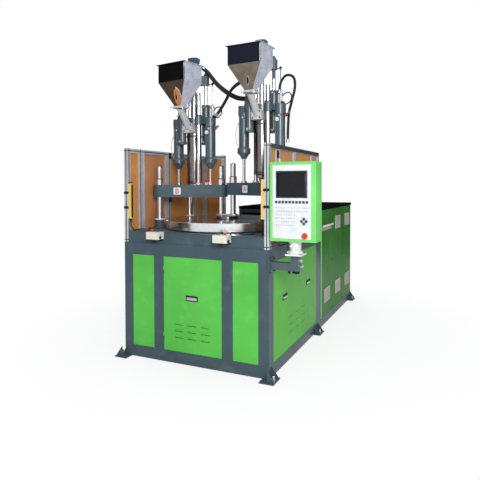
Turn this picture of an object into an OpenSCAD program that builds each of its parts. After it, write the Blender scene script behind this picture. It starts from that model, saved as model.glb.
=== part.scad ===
// Vertical injection moulding machine with two injection units over a rotary table.
// Origin: the table's axis on the floor. X to the right, Y to the back, Z up, millimetres.

/* [Base] */
// Width of the base over its corner posts
base_w = 1400; // [1380:10:1500]
// Depth of the base that carries the table
base_d = 1520; // [1500:10:1600]
// Distance from the base's front face back to the table's axis
table_setback = 680; // [670:2:700]
// Height of the ledge on top of the base
ledge_z = 1038; // [1020:2:1060]
// Thickness of the anchor plates under the base
foot_t = 10; // [8:1:14]
// Width of the corner posts, seen from the front
post_w = 90; // [80:2:96]
// Width of the front door
door_w = 568; // [540:4:580]
// Width of the mullions beside the front door
mullion_w = 98; // [80:2:104]
// Height of the frame's bottom rail
sill_h = 102; // [90:2:120]
// Height of the frame's top rail
head_h = 107; // [90:2:120]
// Depth of the frame's members
member_t = 60; // [50:2:60]
// Depth of the folded panels
panel_t = 18; // [14:1:22]
// Wall of the folded panels
sheet_t = 2; // [1.5:0.5:3]
// Seat behind the edge of each panel
seat_w = 14; // [10:1:18]
// Gap round each panel
panel_gap = 2; // [1:0.5:3]

/* [Anchor feet] */
// Length of an anchor plate along the base
foot_len = 156; // [140:4:180]
// Reach of an anchor plate beyond the base
foot_reach = 64; // [56:2:80]
// Height of the gussets
gusset_h = 90; // [70:5:110]
// Radius of the anchor holes
anchor_r = 11; // [8:0.5:13]
// Half spacing of the front and middle anchor holes
anchor_half_y = 675; // [660:5:690]

/* [Table] */
// Thickness of the machined bed
bed_t = 98; // [90:2:110]
// Distance of the rotary table's rim in from the base's sides
table_inset = 105; // [100:1:120]
// Thickness of the rotary table
table_t = 77; // [60:1:90]
// Radius of the table's bore
table_bore_r = 150; // [146:1:170]
// Height of the bearing track under the table
track_h = 7; // [5:1:12]
// Radius of the fixed hub in the table's bore
hub_r = 140; // [130:2:143]
// Rise of the hub over the table
hub_rise = 26; // [10:2:40]
// Radius of the tapped holes in the table and platens
tap_r = 7; // [5:0.5:9]
// Depth of the tapped holes
tap_depth = 30; // [20:2:40]

/* [Clamps] */
// Radius of the tie bars
bar_r = 26; // [22:0.5:28]
// Distance of the outer tie bars in from the base's sides
bar_inset = 112; // [110:1:116]
// Half spacing of the outer tie bars
bar_out_y = 283; // [278:1:290]
// Distance of the inner tie bars from the middle plane
bar_in_x = 65; // [62:1:72]
// Thickness of the moving platens
platen_t = 117; // [100:1:130]
// Opening between the table and the lower of the two platens
daylight = 211; // [200:1:240]
// How much higher platen A stands
platen_a_lift = 20; // [0:1:30]
// Wall of a platen round its outer bars
platen_wall = 32; // [26:1:34]
// Height of the tie bars over the platen
bar_rise = 178; // [150:2:200]
// Height of the nuts on the platens
nut_h = 53; // [40:1:60]
// Radius of the nuts
nut_r = 35; // [32:1:40]
// Radius of the clamp rams
ram_r = 70; // [60:1:80]
// Wall of the clamp cylinders
clamp_wall = 45; // [30:1:50]
// Length of the clamp cylinders
clamp_len = 400; // [380:5:420]
// Thickness of the lower platens
lower_t = 95; // [80:1:100]

/* [Injection units] */
// Distance of each unit's axis in from the outer tie bars
unit_inset = 225; // [218:1:232]
// How much higher unit A's carriage stands on its platen
carriage_a_lift = 66; // [40:1:70]
// Radius of the jacket round the barrel
jacket_r = 72; // [66:1:74]
// Radius of the screw
screw_r = 22; // [18:1:26]
// Offset of the carriage cylinders from the unit's axis
shift_x = 182; // [176:1:190]
// Radius of the carriage cylinders
shift_r = 46; // [40:1:50]
// Radius of the carriage cylinders' rods
shift_rod_r = 14; // [12:1:18]
// Sideways offset of the injection cylinders
inject_x = 92; // [90:1:98]
// Forward offset of the injection cylinders
inject_y = 76; // [74:1:82]
// Radius of the injection cylinders
inject_r = 40; // [36:1:42]
// Radius of the injection rods
inject_rod_r = 16; // [12:1:20]
// Radius of the guide rods
guide_r = 20; // [16:1:22]
// Height of the guide rods over the platen
guide_h = 890; // [860:5:900]
// Thickness of the injection base
carriage_t = 55; // [45:1:60]
// Distance of the hopper in front of the unit's axis
hopper_y = 264; // [260:1:280]
// Width of the hopper
hopper_w = 320; // [290:5:330]
// Depth of the hopper
hopper_d = 250; // [220:5:255]
// Height of the hopper's upright walls
hopper_box_h = 165; // [140:5:190]
// Height of the hopper's funnel
funnel_h = 215; // [190:5:240]
// Wall of the hopper
hopper_wall = 3; // [2:0.5:5]
// Turn of hopper A about its outlet
hopper_a_turn = -4; // [-6:1:6]
// Turn of hopper B about its outlet
hopper_b_turn = -10; // [-10:1:6]

/* [Guards] */
// Width of the guards' square profile
bar_w = 40; // [30:2:40]
// Height of the guards over the ledge
guard_h = 842; // [780:2:900]
// Thickness of the guards' boards
board_t = 6; // [4:1:10]
// Depth along the side of the narrow front section
guard_front_d = 213; // [200:1:230]
// Width of a guard door
guard_door_w = 440; // [420:2:460]
// Length of the light curtains
curtain_len = 326; // [280:2:360]

/* [Rear cabinet] */
// Left side of the cabinet
cab_x0 = -263; // [-300:1:-240]
// Length of the cabinet
cab_d = 1523; // [1480:1:1560]
// Height of the cabinet's top
cab_top_z = 1302; // [1260:2:1340]
// Height of the cabinet's skid
skid_top_z = 94; // [80:2:120]
// Width of the cabinet's corner members
cab_member = 40; // [30:2:50]

/* [Operator panel] */
// Width of the operator panel
panel_w = 367; // [340:1:380]
// Height of the operator panel
panel_h = 607; // [560:1:640]
// Depth of the operator panel
panel_d = 155; // [130:1:158]
// Width of the square arm
arm_w = 60; // [50:1:70]
// Height of the arm's underside
arm_z = 884; // [860:2:890]
// Distance of the arm's upright from the base
arm_reach = 175; // [168:1:184]

/* [Hidden] */
$fn = 64;

slate = [0.27, 0.34, 0.37];
green = [0.36, 0.82, 0.33];
dark_green = [0.17, 0.45, 0.16];
steel = [0.75, 0.75, 0.76];
white = [0.93, 0.93, 0.92];
black = [0.06, 0.06, 0.07];
kraft = [0.62, 0.42, 0.26];
brushed = [0.45, 0.44, 0.43];
cast = [0.78, 0.78, 0.78];
beige = [0.72, 0.70, 0.64];
yellow = [0.85, 0.75, 0.3];
red = [0.8, 0.15, 0.1];
key_green = [0.1, 0.45, 0.3];

fit = 0.05;
running = 0.3;
front = -table_setback;
back = front + base_d;
side = base_w / 2;
table_r = side - table_inset;
bar_out_x = side - bar_inset;
unit_x = bar_out_x - unit_inset;
station_pitch = 0.22 * unit_x;
bed_d = 1390;
guard_d = bed_d + bar_w + 10;
side_d = 1249;
door_z0 = foot_t + sill_h;
door_z1 = ledge_z - head_h;
bay_x1 = side - post_w;
bay_x0 = door_w / 2 + mullion_w;
side_y0 = front + 99;
side_y1 = side_y0 + side_d;
bed_x = side - bar_w - 2;
bed_y0 = front + 5;
bed_y1 = bed_y0 + bed_d;
bed_z = ledge_z + bed_t;
table_z0 = bed_z + track_h + running;
table_z = table_z0 + table_t;
hub_z = table_z + hub_rise;
platen_z = table_z + daylight;
clamp_x = (2 * bar_out_x + bar_in_x) / 3;
clamp_z = ledge_z - clamp_len;
lower_z = clamp_z - 90;
guard_z = ledge_z + guard_h;
cab_y0 = back + fit;
cab_y1 = cab_y0 + cab_d;
arm_x = side + arm_reach + arm_w / 2;
arm_y = front + arm_w / 2 + 10;
hand_y = bed_y0;
knuckle_r = 5;
knuckle_h = 32;
pin_r = 2.5;

// A box between two opposite corners
module block(low, high) {
    translate(low) cube(high - low);
}

// A cylinder standing at a point
module post(at, r, h) {
    translate(at) cylinder(r = r, h = h);
}

// A cylinder between two points
module rod(from, to, r) {
    along = to - from;
    length = norm(along);
    translate(from)
        rotate([0, acos(along[2] / length), atan2(along[1], along[0])])
            cylinder(r = r, h = length);
}

// A folded sheet tray in the XZ plane that faces the front
module tray(w, h) {
    difference() {
        cube([w, panel_t, h]);
        translate([sheet_t, sheet_t, sheet_t]) cube([w - 2 * sheet_t, panel_t, h - 2 * sheet_t]);
    }
}

// Nine ventilation slots through the skin of a tray
module slots(slot_w, pitch_x, pitch_z) {
    slot_h = 6;
    for (i = [-1:1], j = [-1:1])
        translate([i * pitch_x, -1, j * pitch_z]) {
            translate([-slot_w / 2, 0, 0]) cube([slot_w, panel_t, slot_h]);
            for (s = [-1, 1])
                translate([s * slot_w / 2, 0, slot_h / 2])
                    rotate([-90, 0, 0]) cylinder(d = slot_h, h = panel_t, $fn = 24);
        }
}

// The rebated window that a tray sits in, cut from the front face
module window(x0, x1, z0, z1, depth) {
    translate([x0, -1, z0]) cube([x1 - x0, panel_t + 1 + running, z1 - z0]);
    translate([x0 + seat_w, -1, z0 + seat_w]) cube([x1 - x0 - 2 * seat_w, depth + 2, z1 - z0 - 2 * seat_w]);
}

// Turns a piece drawn for the front face onto the right side, with its x along Y
module on_side(s) {
    mirror([s < 0 ? 1 : 0, 0, 0]) translate([side, 0, 0]) rotate([0, 0, 90]) children();
}

// Base

module base_frame() {
    plate_t = 30;
    plate_y = front + 1380;
    color(slate) knuckles(knuckle_r, knuckle_h, 0);
    color(slate) knuckles(pin_r, 2 * knuckle_h - 2, 0);
    color(slate) difference() {
        block([-side, front, foot_t], [side, back, ledge_z]);
        block([-side + member_t, front + member_t, foot_t - 1], [side - member_t, back - member_t, ledge_z - plate_t]);
        block([-side + member_t, front + member_t, foot_t], [side - member_t, plate_y, ledge_z + 1]);
        translate([0, front, 0]) {
            window(-door_w / 2, door_w / 2, door_z0, door_z1, member_t);
            window(bay_x0, bay_x1, door_z0, door_z1, member_t);
            window(-bay_x1, -bay_x0, door_z0, door_z1, member_t);
        }
        for (s = [-1, 1]) on_side(s) window(side_y0, side_y1, door_z0, door_z1, member_t);
        block([-side + post_w, back - member_t - 1, door_z0], [side - post_w, back + 1, door_z1]);
        knuckles(knuckle_r + running, knuckle_h + 2 * running, knuckle_h);
    }
}

// One anchor foot at the outer face of the base, its reach along +X
module anchor_foot(y, x) {
    plate_in = 60;
    gusset_t = 8;
    translate([x, y, 0]) {
        difference() {
            block([-plate_in, -foot_len / 2, 0], [foot_reach, foot_len / 2, foot_t - fit]);
            post([foot_reach / 2 + gusset_t / 2, 0, -1], anchor_r, foot_t + 2);
        }
        for (s = [-1, 1])
            translate([0, s * (foot_len / 2 - 26) + gusset_t / 2, foot_t - fit])
                rotate([90, 0, 0]) linear_extrude(gusset_t)
                    polygon([[fit, 0], [foot_reach - 8, 0], [foot_reach - 8, 12], [fit, gusset_h]]);
    }
}

module anchor_feet() {
    color(slate) {
        for (s = [0, 1]) mirror([s, 0, 0]) {
            anchor_foot(-anchor_half_y, side);
            anchor_foot(anchor_half_y, side);
        }
        anchor_foot(cab_y1 - foot_len / 2, side);
        mirror([1, 0, 0]) anchor_foot(cab_y1 - foot_len / 2, -cab_x0);
    }
}

module machine_bed() {
    track_r = table_r - 55;
    track_w = 60;
    corner = 6;
    bush_r = 40;
    bush_h = 78;
    color(slate) difference() {
        union() {
            block([-bed_x, bed_y0 + corner, ledge_z], [bed_x, bed_y1, bed_z]);
            block([-bed_x, bed_y0, ledge_z], [bed_x, bed_y0 + corner, bed_z - corner]);
            post([0, 0, bed_z - 1], track_r, track_h + 1);
            for (x = [-bar_out_x, bar_out_x], y = [-bar_out_y, bar_out_y])
                post([x, y, bed_z - 1], bush_r, bush_h + 1);
        }
        post([0, 0, bed_z], track_r - track_w, track_h + 1);
        for (x = [-bar_in_x, bar_in_x]) post([x, 0, ledge_z - 1], bar_r + fit, bed_t + 2);
        for (x = [-bar_out_x, bar_out_x], y = [-bar_out_y, bar_out_y])
            post([x, y, ledge_z - 1], bar_r + fit, bed_t + bush_h + 2);
    }
}

// Posts on the front door's hinge axis
module knuckles(r, h, lift) {
    for (z = [door_z0 + 90, door_z1 - 150])
        post([-door_w / 2 + panel_gap, front, z + lift], r, h);
}

module front_panels() {
    w = bay_x1 - bay_x0 - 2 * panel_gap;
    h = door_z1 - door_z0 - 2 * panel_gap;
    color(green)
        for (x = [-bay_x1, bay_x0])
            translate([x + panel_gap, front + running, door_z0 + panel_gap]) tray(w, h);
}

module front_door() {
    w = door_w - 2 * panel_gap;
    h = door_z1 - door_z0 - 2 * panel_gap;
    pull = [108, 12, 40];
    pull_drop = 72;
    slot_w = 80;
    color(green) difference() {
        union() {
            door_tray(w, h, pull, pull_drop, slot_w);
            knuckles(knuckle_r, knuckle_h, knuckle_h + running);
        }
        knuckles(pin_r + fit, 2 * knuckle_h, 0);
        knuckles(knuckle_r + running, knuckle_h + running, 0);
    }
}

module door_tray(w, h, pull, pull_drop, slot_w) {
    translate([-w / 2, front, door_z0 + panel_gap]) {
        difference() {
            tray(w, h);
            translate([w / 2 - pull[0] / 2, -1, h - pull_drop - pull[2]]) cube([pull[0], pull[1], pull[2]]);
            translate([w / 2, 0, 190]) slots(slot_w, 127, 86);
        }
        translate([w / 2 - pull[0] / 2, 0, h - pull_drop - pull[2]]) difference() {
            translate([-1, 1, -1]) cube([pull[0] + 2, pull[1] + 1, pull[2] + 2]);
            translate([2, -1, 2]) cube([pull[0] - 4, pull[1], pull[2] - 14]);
        }
    }
}

module side_panels() {
    w = side_y1 - side_y0 - 2 * panel_gap;
    h = door_z1 - door_z0 - 2 * panel_gap;
    color(dark_green)
        for (s = [-1, 1]) on_side(s)
            translate([side_y0 + panel_gap, running, door_z0 + panel_gap])
                difference() {
                    tray(w, h);
                    translate([w / 2, 0, 200]) slots(110, 190, 70);
                }
}

// Rear cabinet

module cabinet_frame() {
    m = cab_member;
    color(slate) difference() {
        block([cab_x0, cab_y0, foot_t], [side, cab_y1, cab_top_z - 32]);
        block([cab_x0 + m, cab_y0 + m, skid_top_z], [side - m, cab_y1 - m, cab_top_z]);
        block([cab_x0 + m, cab_y0 - 1, skid_top_z], [side - m, cab_y1 - m - 1, cab_top_z - 32 - m]);
        block([cab_x0 + m, cab_y0 + m, foot_t - 1], [side - m, cab_y1 - m, skid_top_z - 4]);
        block([cab_x0 - 1, cab_y0 + m, skid_top_z], [side + 1, cab_y1 - m, cab_top_z - 32 - m]);
        block([cab_x0 + m, cab_y0 + m, skid_top_z], [side - m, cab_y1 + 1, cab_top_z - 32 - m]);
        for (x = [cab_x0 - 1, side - panel_t - running])
            block([x, cab_y0 - 1, skid_top_z], [x + panel_t + running + 1, cab_y1 + 1, cab_top_z - 31]);
        block([cab_x0 - 1, cab_y1 - panel_t - running, skid_top_z], [side + 1, cab_y1 + 1, cab_top_z - 31]);
    }
}

module cabinet_panels() {
    bays = 3;
    h = cab_top_z - 32 - skid_top_z - 2 * panel_gap;
    run = cab_d - panel_t - 2 * panel_gap;
    w = run / bays - panel_gap;
    z = skid_top_z + panel_gap;
    color(dark_green) {
        for (i = [0:bays - 1]) {
            y = cab_y0 + panel_gap + i * (w + panel_gap);
            translate([side, y, z]) rotate([0, 0, 90]) tray(w, h);
            translate([cab_x0, y + w, z]) rotate([0, 0, -90]) tray(w, h);
        }
        translate([side - panel_gap - panel_t, cab_y1, z]) rotate([0, 0, 180])
            tray(side - cab_x0 - 2 * (panel_gap + panel_t), h);
    }
}

module cabinet_top() {
    lip = 3;
    rim = 32;
    color(black) difference() {
        block([cab_x0 - lip, cab_y0, cab_top_z - rim + fit], [side + lip, cab_y1 + lip, cab_top_z]);
        block([cab_x0, cab_y0 + lip, cab_top_z - rim - 1], [side, cab_y1, cab_top_z - rim + 1]);
        block([cab_x0 + 20, cab_y0 + 20, cab_top_z - rim - 1], [side - 20, cab_y1 - 20, cab_top_z - lip]);
    }
}

// A louvred vent on the right side, its middle at y, z
module vent(y, z, w, h) {
    slats = 6;
    depth = 8;
    translate([side + running, y - w / 2, z - h / 2]) difference() {
        cube([depth, w, h]);
        for (i = [0:slats - 1])
            translate([3, 12, 10 + i * (h - 20) / slats]) cube([depth, w - 24, (h - 20) / slats - 8]);
    }
}

module vent_grilles() {
    vent_w = 240;
    vent_h = 154;
    low_z = 322;
    high_z = 1098;
    hood_z = 1072;
    bay = cab_d / 3;
    color(beige) {
        for (i = [0:2]) vent(cab_y0 + (i + 0.5) * bay, low_z, vent_w, vent_h);
        for (i = [1:2]) vent(cab_y0 + (i + 0.5) * bay, high_z, vent_w, vent_h);
        vent(cab_y0 + 0.5 * bay, hood_z, 390, 56);
    }
}

tank_inset = 90;
tank_y = cab_y0 + 100;
tank_d = 0.63 * cab_d;
tank_h = 386;
tank_z = skid_top_z + tank_h;

module oil_tank() {
    filler_r = 45;
    color(slate) {
        block([cab_x0 + tank_inset, tank_y, skid_top_z + fit], [side - tank_inset, tank_y + tank_d, tank_z]);
        post([side - tank_inset - 110, tank_y + tank_d - 100, tank_z - 1], filler_r, 40);
    }
}

module pump_motor() {
    r = 150;
    bell_r = 110;
    pump_r = 80;
    motor_l = 400;
    bell_l = 80;
    pump_l = 160;
    rise = 40;
    x0 = cab_x0 + 160;
    x1 = x0 + motor_l;
    x2 = x1 + bell_l;
    y = tank_y + tank_d / 2;
    z = tank_z + r + rise;
    color(slate) {
        rod([x0, y, z], [x1, y, z], r);
        rod([x1, y, z], [x2, y, z], bell_r);
        rod([x2, y, z], [x2 + pump_l, y, z], pump_r);
        for (x = [x0 + rise, x1 - 2.2 * rise])
            block([x, y - 0.8 * r, tank_z + fit], [x + 50, y + 0.8 * r, z - 0.4 * r]);
    }
}

// Table

module rotary_table() {
    rim = 4;
    stations = 2;
    color(steel) difference() {
        rotate_extrude($fn = 180) polygon([
            [table_bore_r, table_z0], [table_r - rim, table_z0], [table_r, table_z0 + rim],
            [table_r, table_z - rim], [table_r - rim, table_z], [table_bore_r, table_z]]);
        for (s = [0:stations - 1], i = [-2:2], j = [-2:2])
            if (abs(i) == 2 || abs(j) == 2)
                rotate([0, 0, s * 360 / stations])
                    post([unit_x + i * station_pitch, j * station_pitch, table_z - tap_depth], tap_r, tap_depth + 1, $fn = 24);
    }
}

module centre_hub() {
    boss_r = 104;
    color(slate) difference() {
        union() {
            post([0, 0, bed_z + fit], hub_r, table_t + track_h - 10);
            post([0, 0, bed_z + fit], boss_r, hub_z - bed_z - fit);
        }
        for (x = [-bar_in_x, bar_in_x]) post([x, 0, bed_z - 1], bar_r + fit, hub_z - bed_z + 2);
    }
}

// Clamps: every module is drawn for the right side

function tangent(p, c, r, s) =
    let (v = p - c, a = atan2(v[1], v[0]) + s * acos(r / norm(v))) c + r * [cos(a), sin(a)];

// Outline of a platen that stands r outside its outer bars
module platen_outline(r) {
    outer = [bar_out_x, bar_out_y];
    bend = [246, 150 + r - bar_r - platen_wall];
    nose_x = 12;
    nose_y = 38;
    tip = [nose_x + 20, nose_y + 20];
    half = [
        [nose_x, 0], [nose_x, nose_y], tip, bend,
        tangent(bend, outer, r, -1), outer, [bar_out_x + r, bar_out_y], [bar_out_x + r, 0]
    ];
    for (s = [0, 1]) mirror([0, s]) {
        polygon(half);
        translate(outer) circle(r = r);
    }
}

module bar_places() {
    for (y = [-bar_out_y, bar_out_y]) translate([bar_out_x, y, 0]) children();
    translate([bar_in_x, 0, 0]) children();
}

module platen(z) {
    nozzle_r = 62;
    grid = 240;
    color(slate) difference() {
        translate([0, 0, z]) linear_extrude(platen_t) platen_outline(bar_r + platen_wall);
        bar_places() post([0, 0, z - 1], bar_r + fit, platen_t + 2);
        post([unit_x, 0, z - 1], nozzle_r, platen_t + 2);
        for (x = [-1, 1], y = [-1, 1])
            post([unit_x + x * grid / 2, y * grid / 2, z - 1], tap_r, tap_depth + 1, $fn = 24);
    }
}

module tie_bars(z) {
    foot_h = 45;
    color(steel) bar_places() {
        post([0, 0, lower_z - lower_t - foot_h], bar_r, z + platen_t + bar_rise - lower_z + lower_t + foot_h);
        post([0, 0, z + platen_t + fit], nut_r, nut_h);
        post([0, 0, lower_z - lower_t - fit - nut_h], nut_r, nut_h);
    }
}

module lower_platen() {
    wall = 18;
    ram_top = ledge_z - 110;
    color(slate) difference() {
        union() {
            translate([0, 0, lower_z - lower_t]) linear_extrude(lower_t) platen_outline(bar_r + wall);
            post([clamp_x, 0, lower_z - 1], ram_r, ram_top - lower_z + 1);
        }
        bar_places() post([0, 0, lower_z - lower_t - 1], bar_r + fit, lower_t + 2);
    }
}

module clamp_cylinders() {
    flange_h = 40;
    color(slate) for (s = [0, 1]) mirror([s, 0, 0]) translate([clamp_x, 0, 0]) difference() {
        union() {
            post([0, 0, clamp_z], ram_r + clamp_wall, clamp_len - fit);
            post([0, 0, ledge_z - flange_h], ram_r + clamp_wall + 30, flange_h - fit);
        }
        post([0, 0, clamp_z - 1], ram_r + fit, clamp_len - 40);
    }
}

// Injection units: every module is drawn round the unit's axis, z is the platen's top
// and c the level of the carriage, which equals z when the carriage is down

shift_z0 = 209;
carriage_z = 600;
inject_z0 = 400;
inject_z1 = 795;
yoke_z = 992;
yoke_t = 90;
motor_w = 97;
motor_h = 171;
gauge = [142, 124];
gauge_rod_r = 4;

module both_sides() {
    for (s = [0, 180]) rotate([0, 0, s]) children();
}

module unit_rods(z) {
    collar_h = 18;
    rod_h = 460;
    color(steel) both_sides() {
        post([shift_x, 0, z + fit], shift_rod_r, rod_h);
        post([shift_x, 0, z + fit], shift_rod_r + 14, collar_h);
        post([inject_x, -inject_y, z + fit], guide_r, guide_h);
        post([inject_x, -inject_y, z + fit], guide_r + 12, collar_h);
    }
}

module carriage(c) {
    hub_lobe = 98;
    boss_h = 34;
    color(slate) difference() {
        union() {
            translate([0, 0, c + carriage_z]) linear_extrude(carriage_t) {
                circle(r = hub_lobe);
                square([2 * shift_x, 84], center = true);
                both_sides() {
                    translate([shift_x, 0]) circle(r = shift_r + 8);
                    translate([inject_x, -inject_y]) circle(r = guide_r + 16);
                    translate([inject_x, inject_y]) circle(r = inject_r + 12);
                }
                translate(gauge) circle(r = 30);
            }
            both_sides() post([inject_x, -inject_y, c + carriage_z - boss_h / 2], guide_r + 14, carriage_t + boss_h);
        }
        post([0, 0, c + carriage_z - 1], screw_r + 8, carriage_t + 2);
        both_sides() {
            post([inject_x, -inject_y, c + carriage_z - boss_h], guide_r + fit, carriage_t + 3 * boss_h);
            post([inject_x, inject_y, c + carriage_z - 1], inject_r + fit, carriage_t + 2);
        }
    }
}

module cylinders(c) {
    flange_h = 22;
    cap_h = 38;
    shift_h = carriage_z - shift_z0;
    color(slate) both_sides() {
        translate([shift_x, 0, c]) difference() {
            rotate_extrude() polygon([
                [0, shift_z0 - 34], [shift_r - 14, shift_z0 - 34], [shift_r + 4, shift_z0],
                [shift_r + 16, shift_z0 + 8], [shift_r + 16, shift_z0 + 44], [shift_r + 4, shift_z0 + 58],
                [shift_r, shift_z0 + 58], [shift_r, carriage_z - cap_h], [shift_r + 7, carriage_z - cap_h + 4],
                [shift_r + 7, carriage_z - fit], [0, carriage_z - fit]]);
            post([0, 0, shift_z0 - 35], shift_rod_r + fit, shift_h - 10);
        }
        for (a = [45:90:315])
            translate([shift_x, 0, c]) rotate([0, 0, a])
                post([shift_r + 1, 0, shift_z0 + 30], 5, shift_h - cap_h - 20);
        translate([inject_x, inject_y, c]) difference() {
            union() {
                post([0, 0, inject_z0], inject_r, inject_z1 - inject_z0);
                post([0, 0, carriage_z + carriage_t + fit], inject_r + 6, flange_h);
            }
            post([0, 0, inject_z0 + 120], inject_rod_r + fit, inject_z1 - inject_z0);
        }
    }
}

module barrel(c) {
    color(brushed) translate([0, 0, c]) difference() {
        rotate_extrude() polygon([
            [0, -70], [9, -70], [24, -46], [30, -20], [30, 2], [jacket_r - 8, 8], [jacket_r, 14],
            [jacket_r, carriage_z - 10], [jacket_r - 6, carriage_z - fit], [0, carriage_z - fit]]);
        post([0, 0, 22], screw_r + fit, carriage_z);
        post([0, 0, -71], 4, 100, $fn = 24);
    }
}

module feed_throat(c) {
    block_h = 90;
    block_w = 100;
    block_z = 509;
    flange = 130;
    flange_t = 14;
    top = carriage_z + 138;
    lower = [0, -jacket_r - 30, block_z + block_h / 2];
    upper = [0, -hopper_y, top - flange_t];
    color(cast) translate([0, 0, c]) difference() {
        union() {
            block([-block_w / 2, -jacket_r - 62, block_z], [block_w / 2, -jacket_r + 20, block_z + block_h]);
            rod(lower, upper + [0, 0, 4], 33);
            translate(upper + [-flange / 2, -flange / 2, 0]) cube([flange, flange, flange_t - fit]);
        }
        post([0, 0, block_z - 1], jacket_r + fit, block_h + 2);
        rod(lower + [0, -28, 30], upper + [0, 0, flange_t], 22);
        post(upper - [0, 0, 10], 26, flange_t + 20);
        translate(upper + [-flange, -flange, flange_t - fit]) cube(2 * flange);
    }
}

module hopper(c, turn) {
    outlet = 76;
    stub_h = 8;
    rim_w = 15;
    z = c + carriage_z + 138;
    t = hopper_wall;
    color(steel) translate([0, -hopper_y, z]) rotate([0, 0, turn]) difference() {
        union() {
            translate([-outlet / 2 - 8, -outlet / 2 - 8, 0]) cube([outlet + 16, outlet + 16, stub_h]);
            funnel(hopper_w, hopper_d, outlet, stub_h, 0);
            translate([-hopper_w / 2, -hopper_d / 2, stub_h + funnel_h])
                cube([hopper_w, hopper_d, hopper_box_h]);
            translate([-hopper_w / 2 - rim_w, -hopper_d / 2 - rim_w, stub_h + funnel_h + hopper_box_h - t])
                cube([hopper_w + 2 * rim_w, hopper_d + 2 * rim_w, t]);
        }
        funnel(hopper_w - 2 * t, hopper_d - 2 * t, outlet - 2 * t, stub_h, 0.01);
        translate([-hopper_w / 2 + t, -hopper_d / 2 + t, stub_h + funnel_h])
            cube([hopper_w - 2 * t, hopper_d - 2 * t, hopper_box_h + 1]);
        post([0, 0, -1], 26, stub_h + 2);
    }
}

module funnel(w, d, outlet, z, grow) {
    hull() {
        translate([-outlet / 2, -outlet / 2, z - grow]) cube([outlet, outlet, 0.01]);
        translate([-w / 2, -d / 2, z + funnel_h]) cube([w, d, 0.01 + grow]);
    }
}

module yoke(c) {
    arm = norm([inject_x, inject_y]);
    color(slate) difference() {
        translate([0, 0, c + yoke_z]) linear_extrude(yoke_t) {
            circle(r = 62);
            both_sides() {
                translate([inject_x, inject_y]) circle(r = inject_rod_r + 18);
                rotate([0, 0, atan2(inject_y, inject_x)]) translate([0, -30]) square([arm, 60]);
            }
        }
        post([0, 0, c + yoke_z - 1], screw_r + fit, yoke_t + 2);
    }
    color(steel) both_sides()
        post([inject_x, inject_y, c + yoke_z - 290], inject_rod_r, 291);
    color(black) {
        translate([gauge[0], gauge[1], c + yoke_z + 8]) {
            cylinder(r = 8, h = 12);
            translate([0, 0, 6]) rotate([0, 0, 225]) translate([0, -5, -4]) cube([50, 10, 8]);
        }
        post([gauge[0], gauge[1], c + yoke_z - 182], gauge_rod_r, 192);
    }
}

module screw(c) {
    tip = 190;
    color(steel) post([0, 0, c + tip], screw_r, yoke_z + yoke_t - tip - running);
}

module screw_motor(c) {
    w = motor_w;
    flange_h = 26;
    z = c + yoke_z + yoke_t;
    color(slate) {
        translate([-w / 2, -w / 2, z]) cube([w, w, flange_h]);
        post([0, 0, z + flange_h - 1], w / 2 - 3, motor_h - flange_h - 22);
        translate([-w / 2 + 4, -w / 2 + 4, z + motor_h - 24]) cube([w - 8, w - 8, 24]);
        translate([w / 2 - 12, -24, z + 60]) cube([12 + port_reach, 48, 44]);
    }
}

module transducer(c) {
    h = 150;
    z = c + carriage_z + carriage_t;
    color(white) difference() {
        union() {
            post([gauge[0], gauge[1], z + fit], 20, h);
            post([gauge[0], gauge[1], z + h], 8, 16);
        }
        post([gauge[0], gauge[1], z + 2], gauge_rod_r + fit, h + 20, $fn = 24);
    }
}

// A hose swept along points, drawn with eight sides
module hose(points, r) {
    sides = 8;
    n = len(points);
    rings = [for (i = [0:n - 1])
        let (
            a = points[max(i - 1, 0)],
            b = points[min(i + 1, n - 1)],
            t = (b - a) / norm(b - a),
            side_v = cross(t, [0.05, 1, 0.1]),
            u = side_v / norm(side_v),
            v = cross(u, t)
        )
        for (k = [0:sides - 1]) points[i] + r * (cos(k * 360 / sides) * u + sin(k * 360 / sides) * v)];
    walls = [for (i = [0:n - 2], k = [0:sides - 1])
        let (p = i * sides + k, q = i * sides + (k + 1) % sides) each [
            [p, q, p + sides], [q, q + sides, p + sides]]];
    start = [for (k = [sides - 1:-1:0]) k];
    end = [for (k = [0:sides - 1]) (n - 1) * sides + k];
    polyhedron(rings, concat([start], walls, [end]));
}

// A smooth line through hand-picked points, in steps from one to the next
function along(p, i, t) =
    let (a = p[max(i - 1, 0)], b = p[i], c = p[i + 1], d = p[min(i + 2, len(p) - 1)])
    b + 0.5 * t * (c - a + t * (2 * a - 5 * b + 4 * c - d + t * (3 * b - a - 3 * c + d)));
function smooth(p, n) = [for (i = [0:len(p) - 2], k = [0:n - 1]) along(p, i, k / n), p[len(p) - 1]];

hose_a_r = 12;
hose_a = [
    [146, 76, 770], [160, 79, 868], [214, 80, 930], [284, 80, 905], [298, 78, 810],
    [270, 68, 680], [258, 28, 570], [258, 4, 440], [256, 0, 300]
];
hose_b_r = 15;
hose_b = [
    [84, 0, 1164], [148, 18, 1112], [222, 70, 1005], [310, 135, 922], [400, 208, 874],
    [500, 255, 882], [556, 275, 965], [505, 268, 1045], [410, 242, 1040], [325, 200, 965],
    [275, 150, 840], [236, 88, 730], [213, 32, 670]
];
from_a = [inject_x + inject_r + fit, inject_y, 770];
to_a = [shift_x + shift_r + fit, 0, 300];
port_reach = 22;
from_b = [motor_w / 2 + port_reach + fit, 0, 1164];
to_b = [213, 32, carriage_z + carriage_t + fit];

// A hose with a fitting that reaches from what it starts on, and one from what it ends on
module hoses(c, points, r, from, to) {
    color(black) translate([0, 0, c]) {
        hose(smooth(points, 4), r);
        rod(from, points[0], r + 2);
        rod(to, points[len(points) - 1], r + 2);
    }
}

// Operator panel

elbow_z = 1007;
flange_t = 12;
swivel_z = elbow_z + flange_t + running;
neck_h = 98;
panel_z = swivel_z + neck_h;

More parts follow.
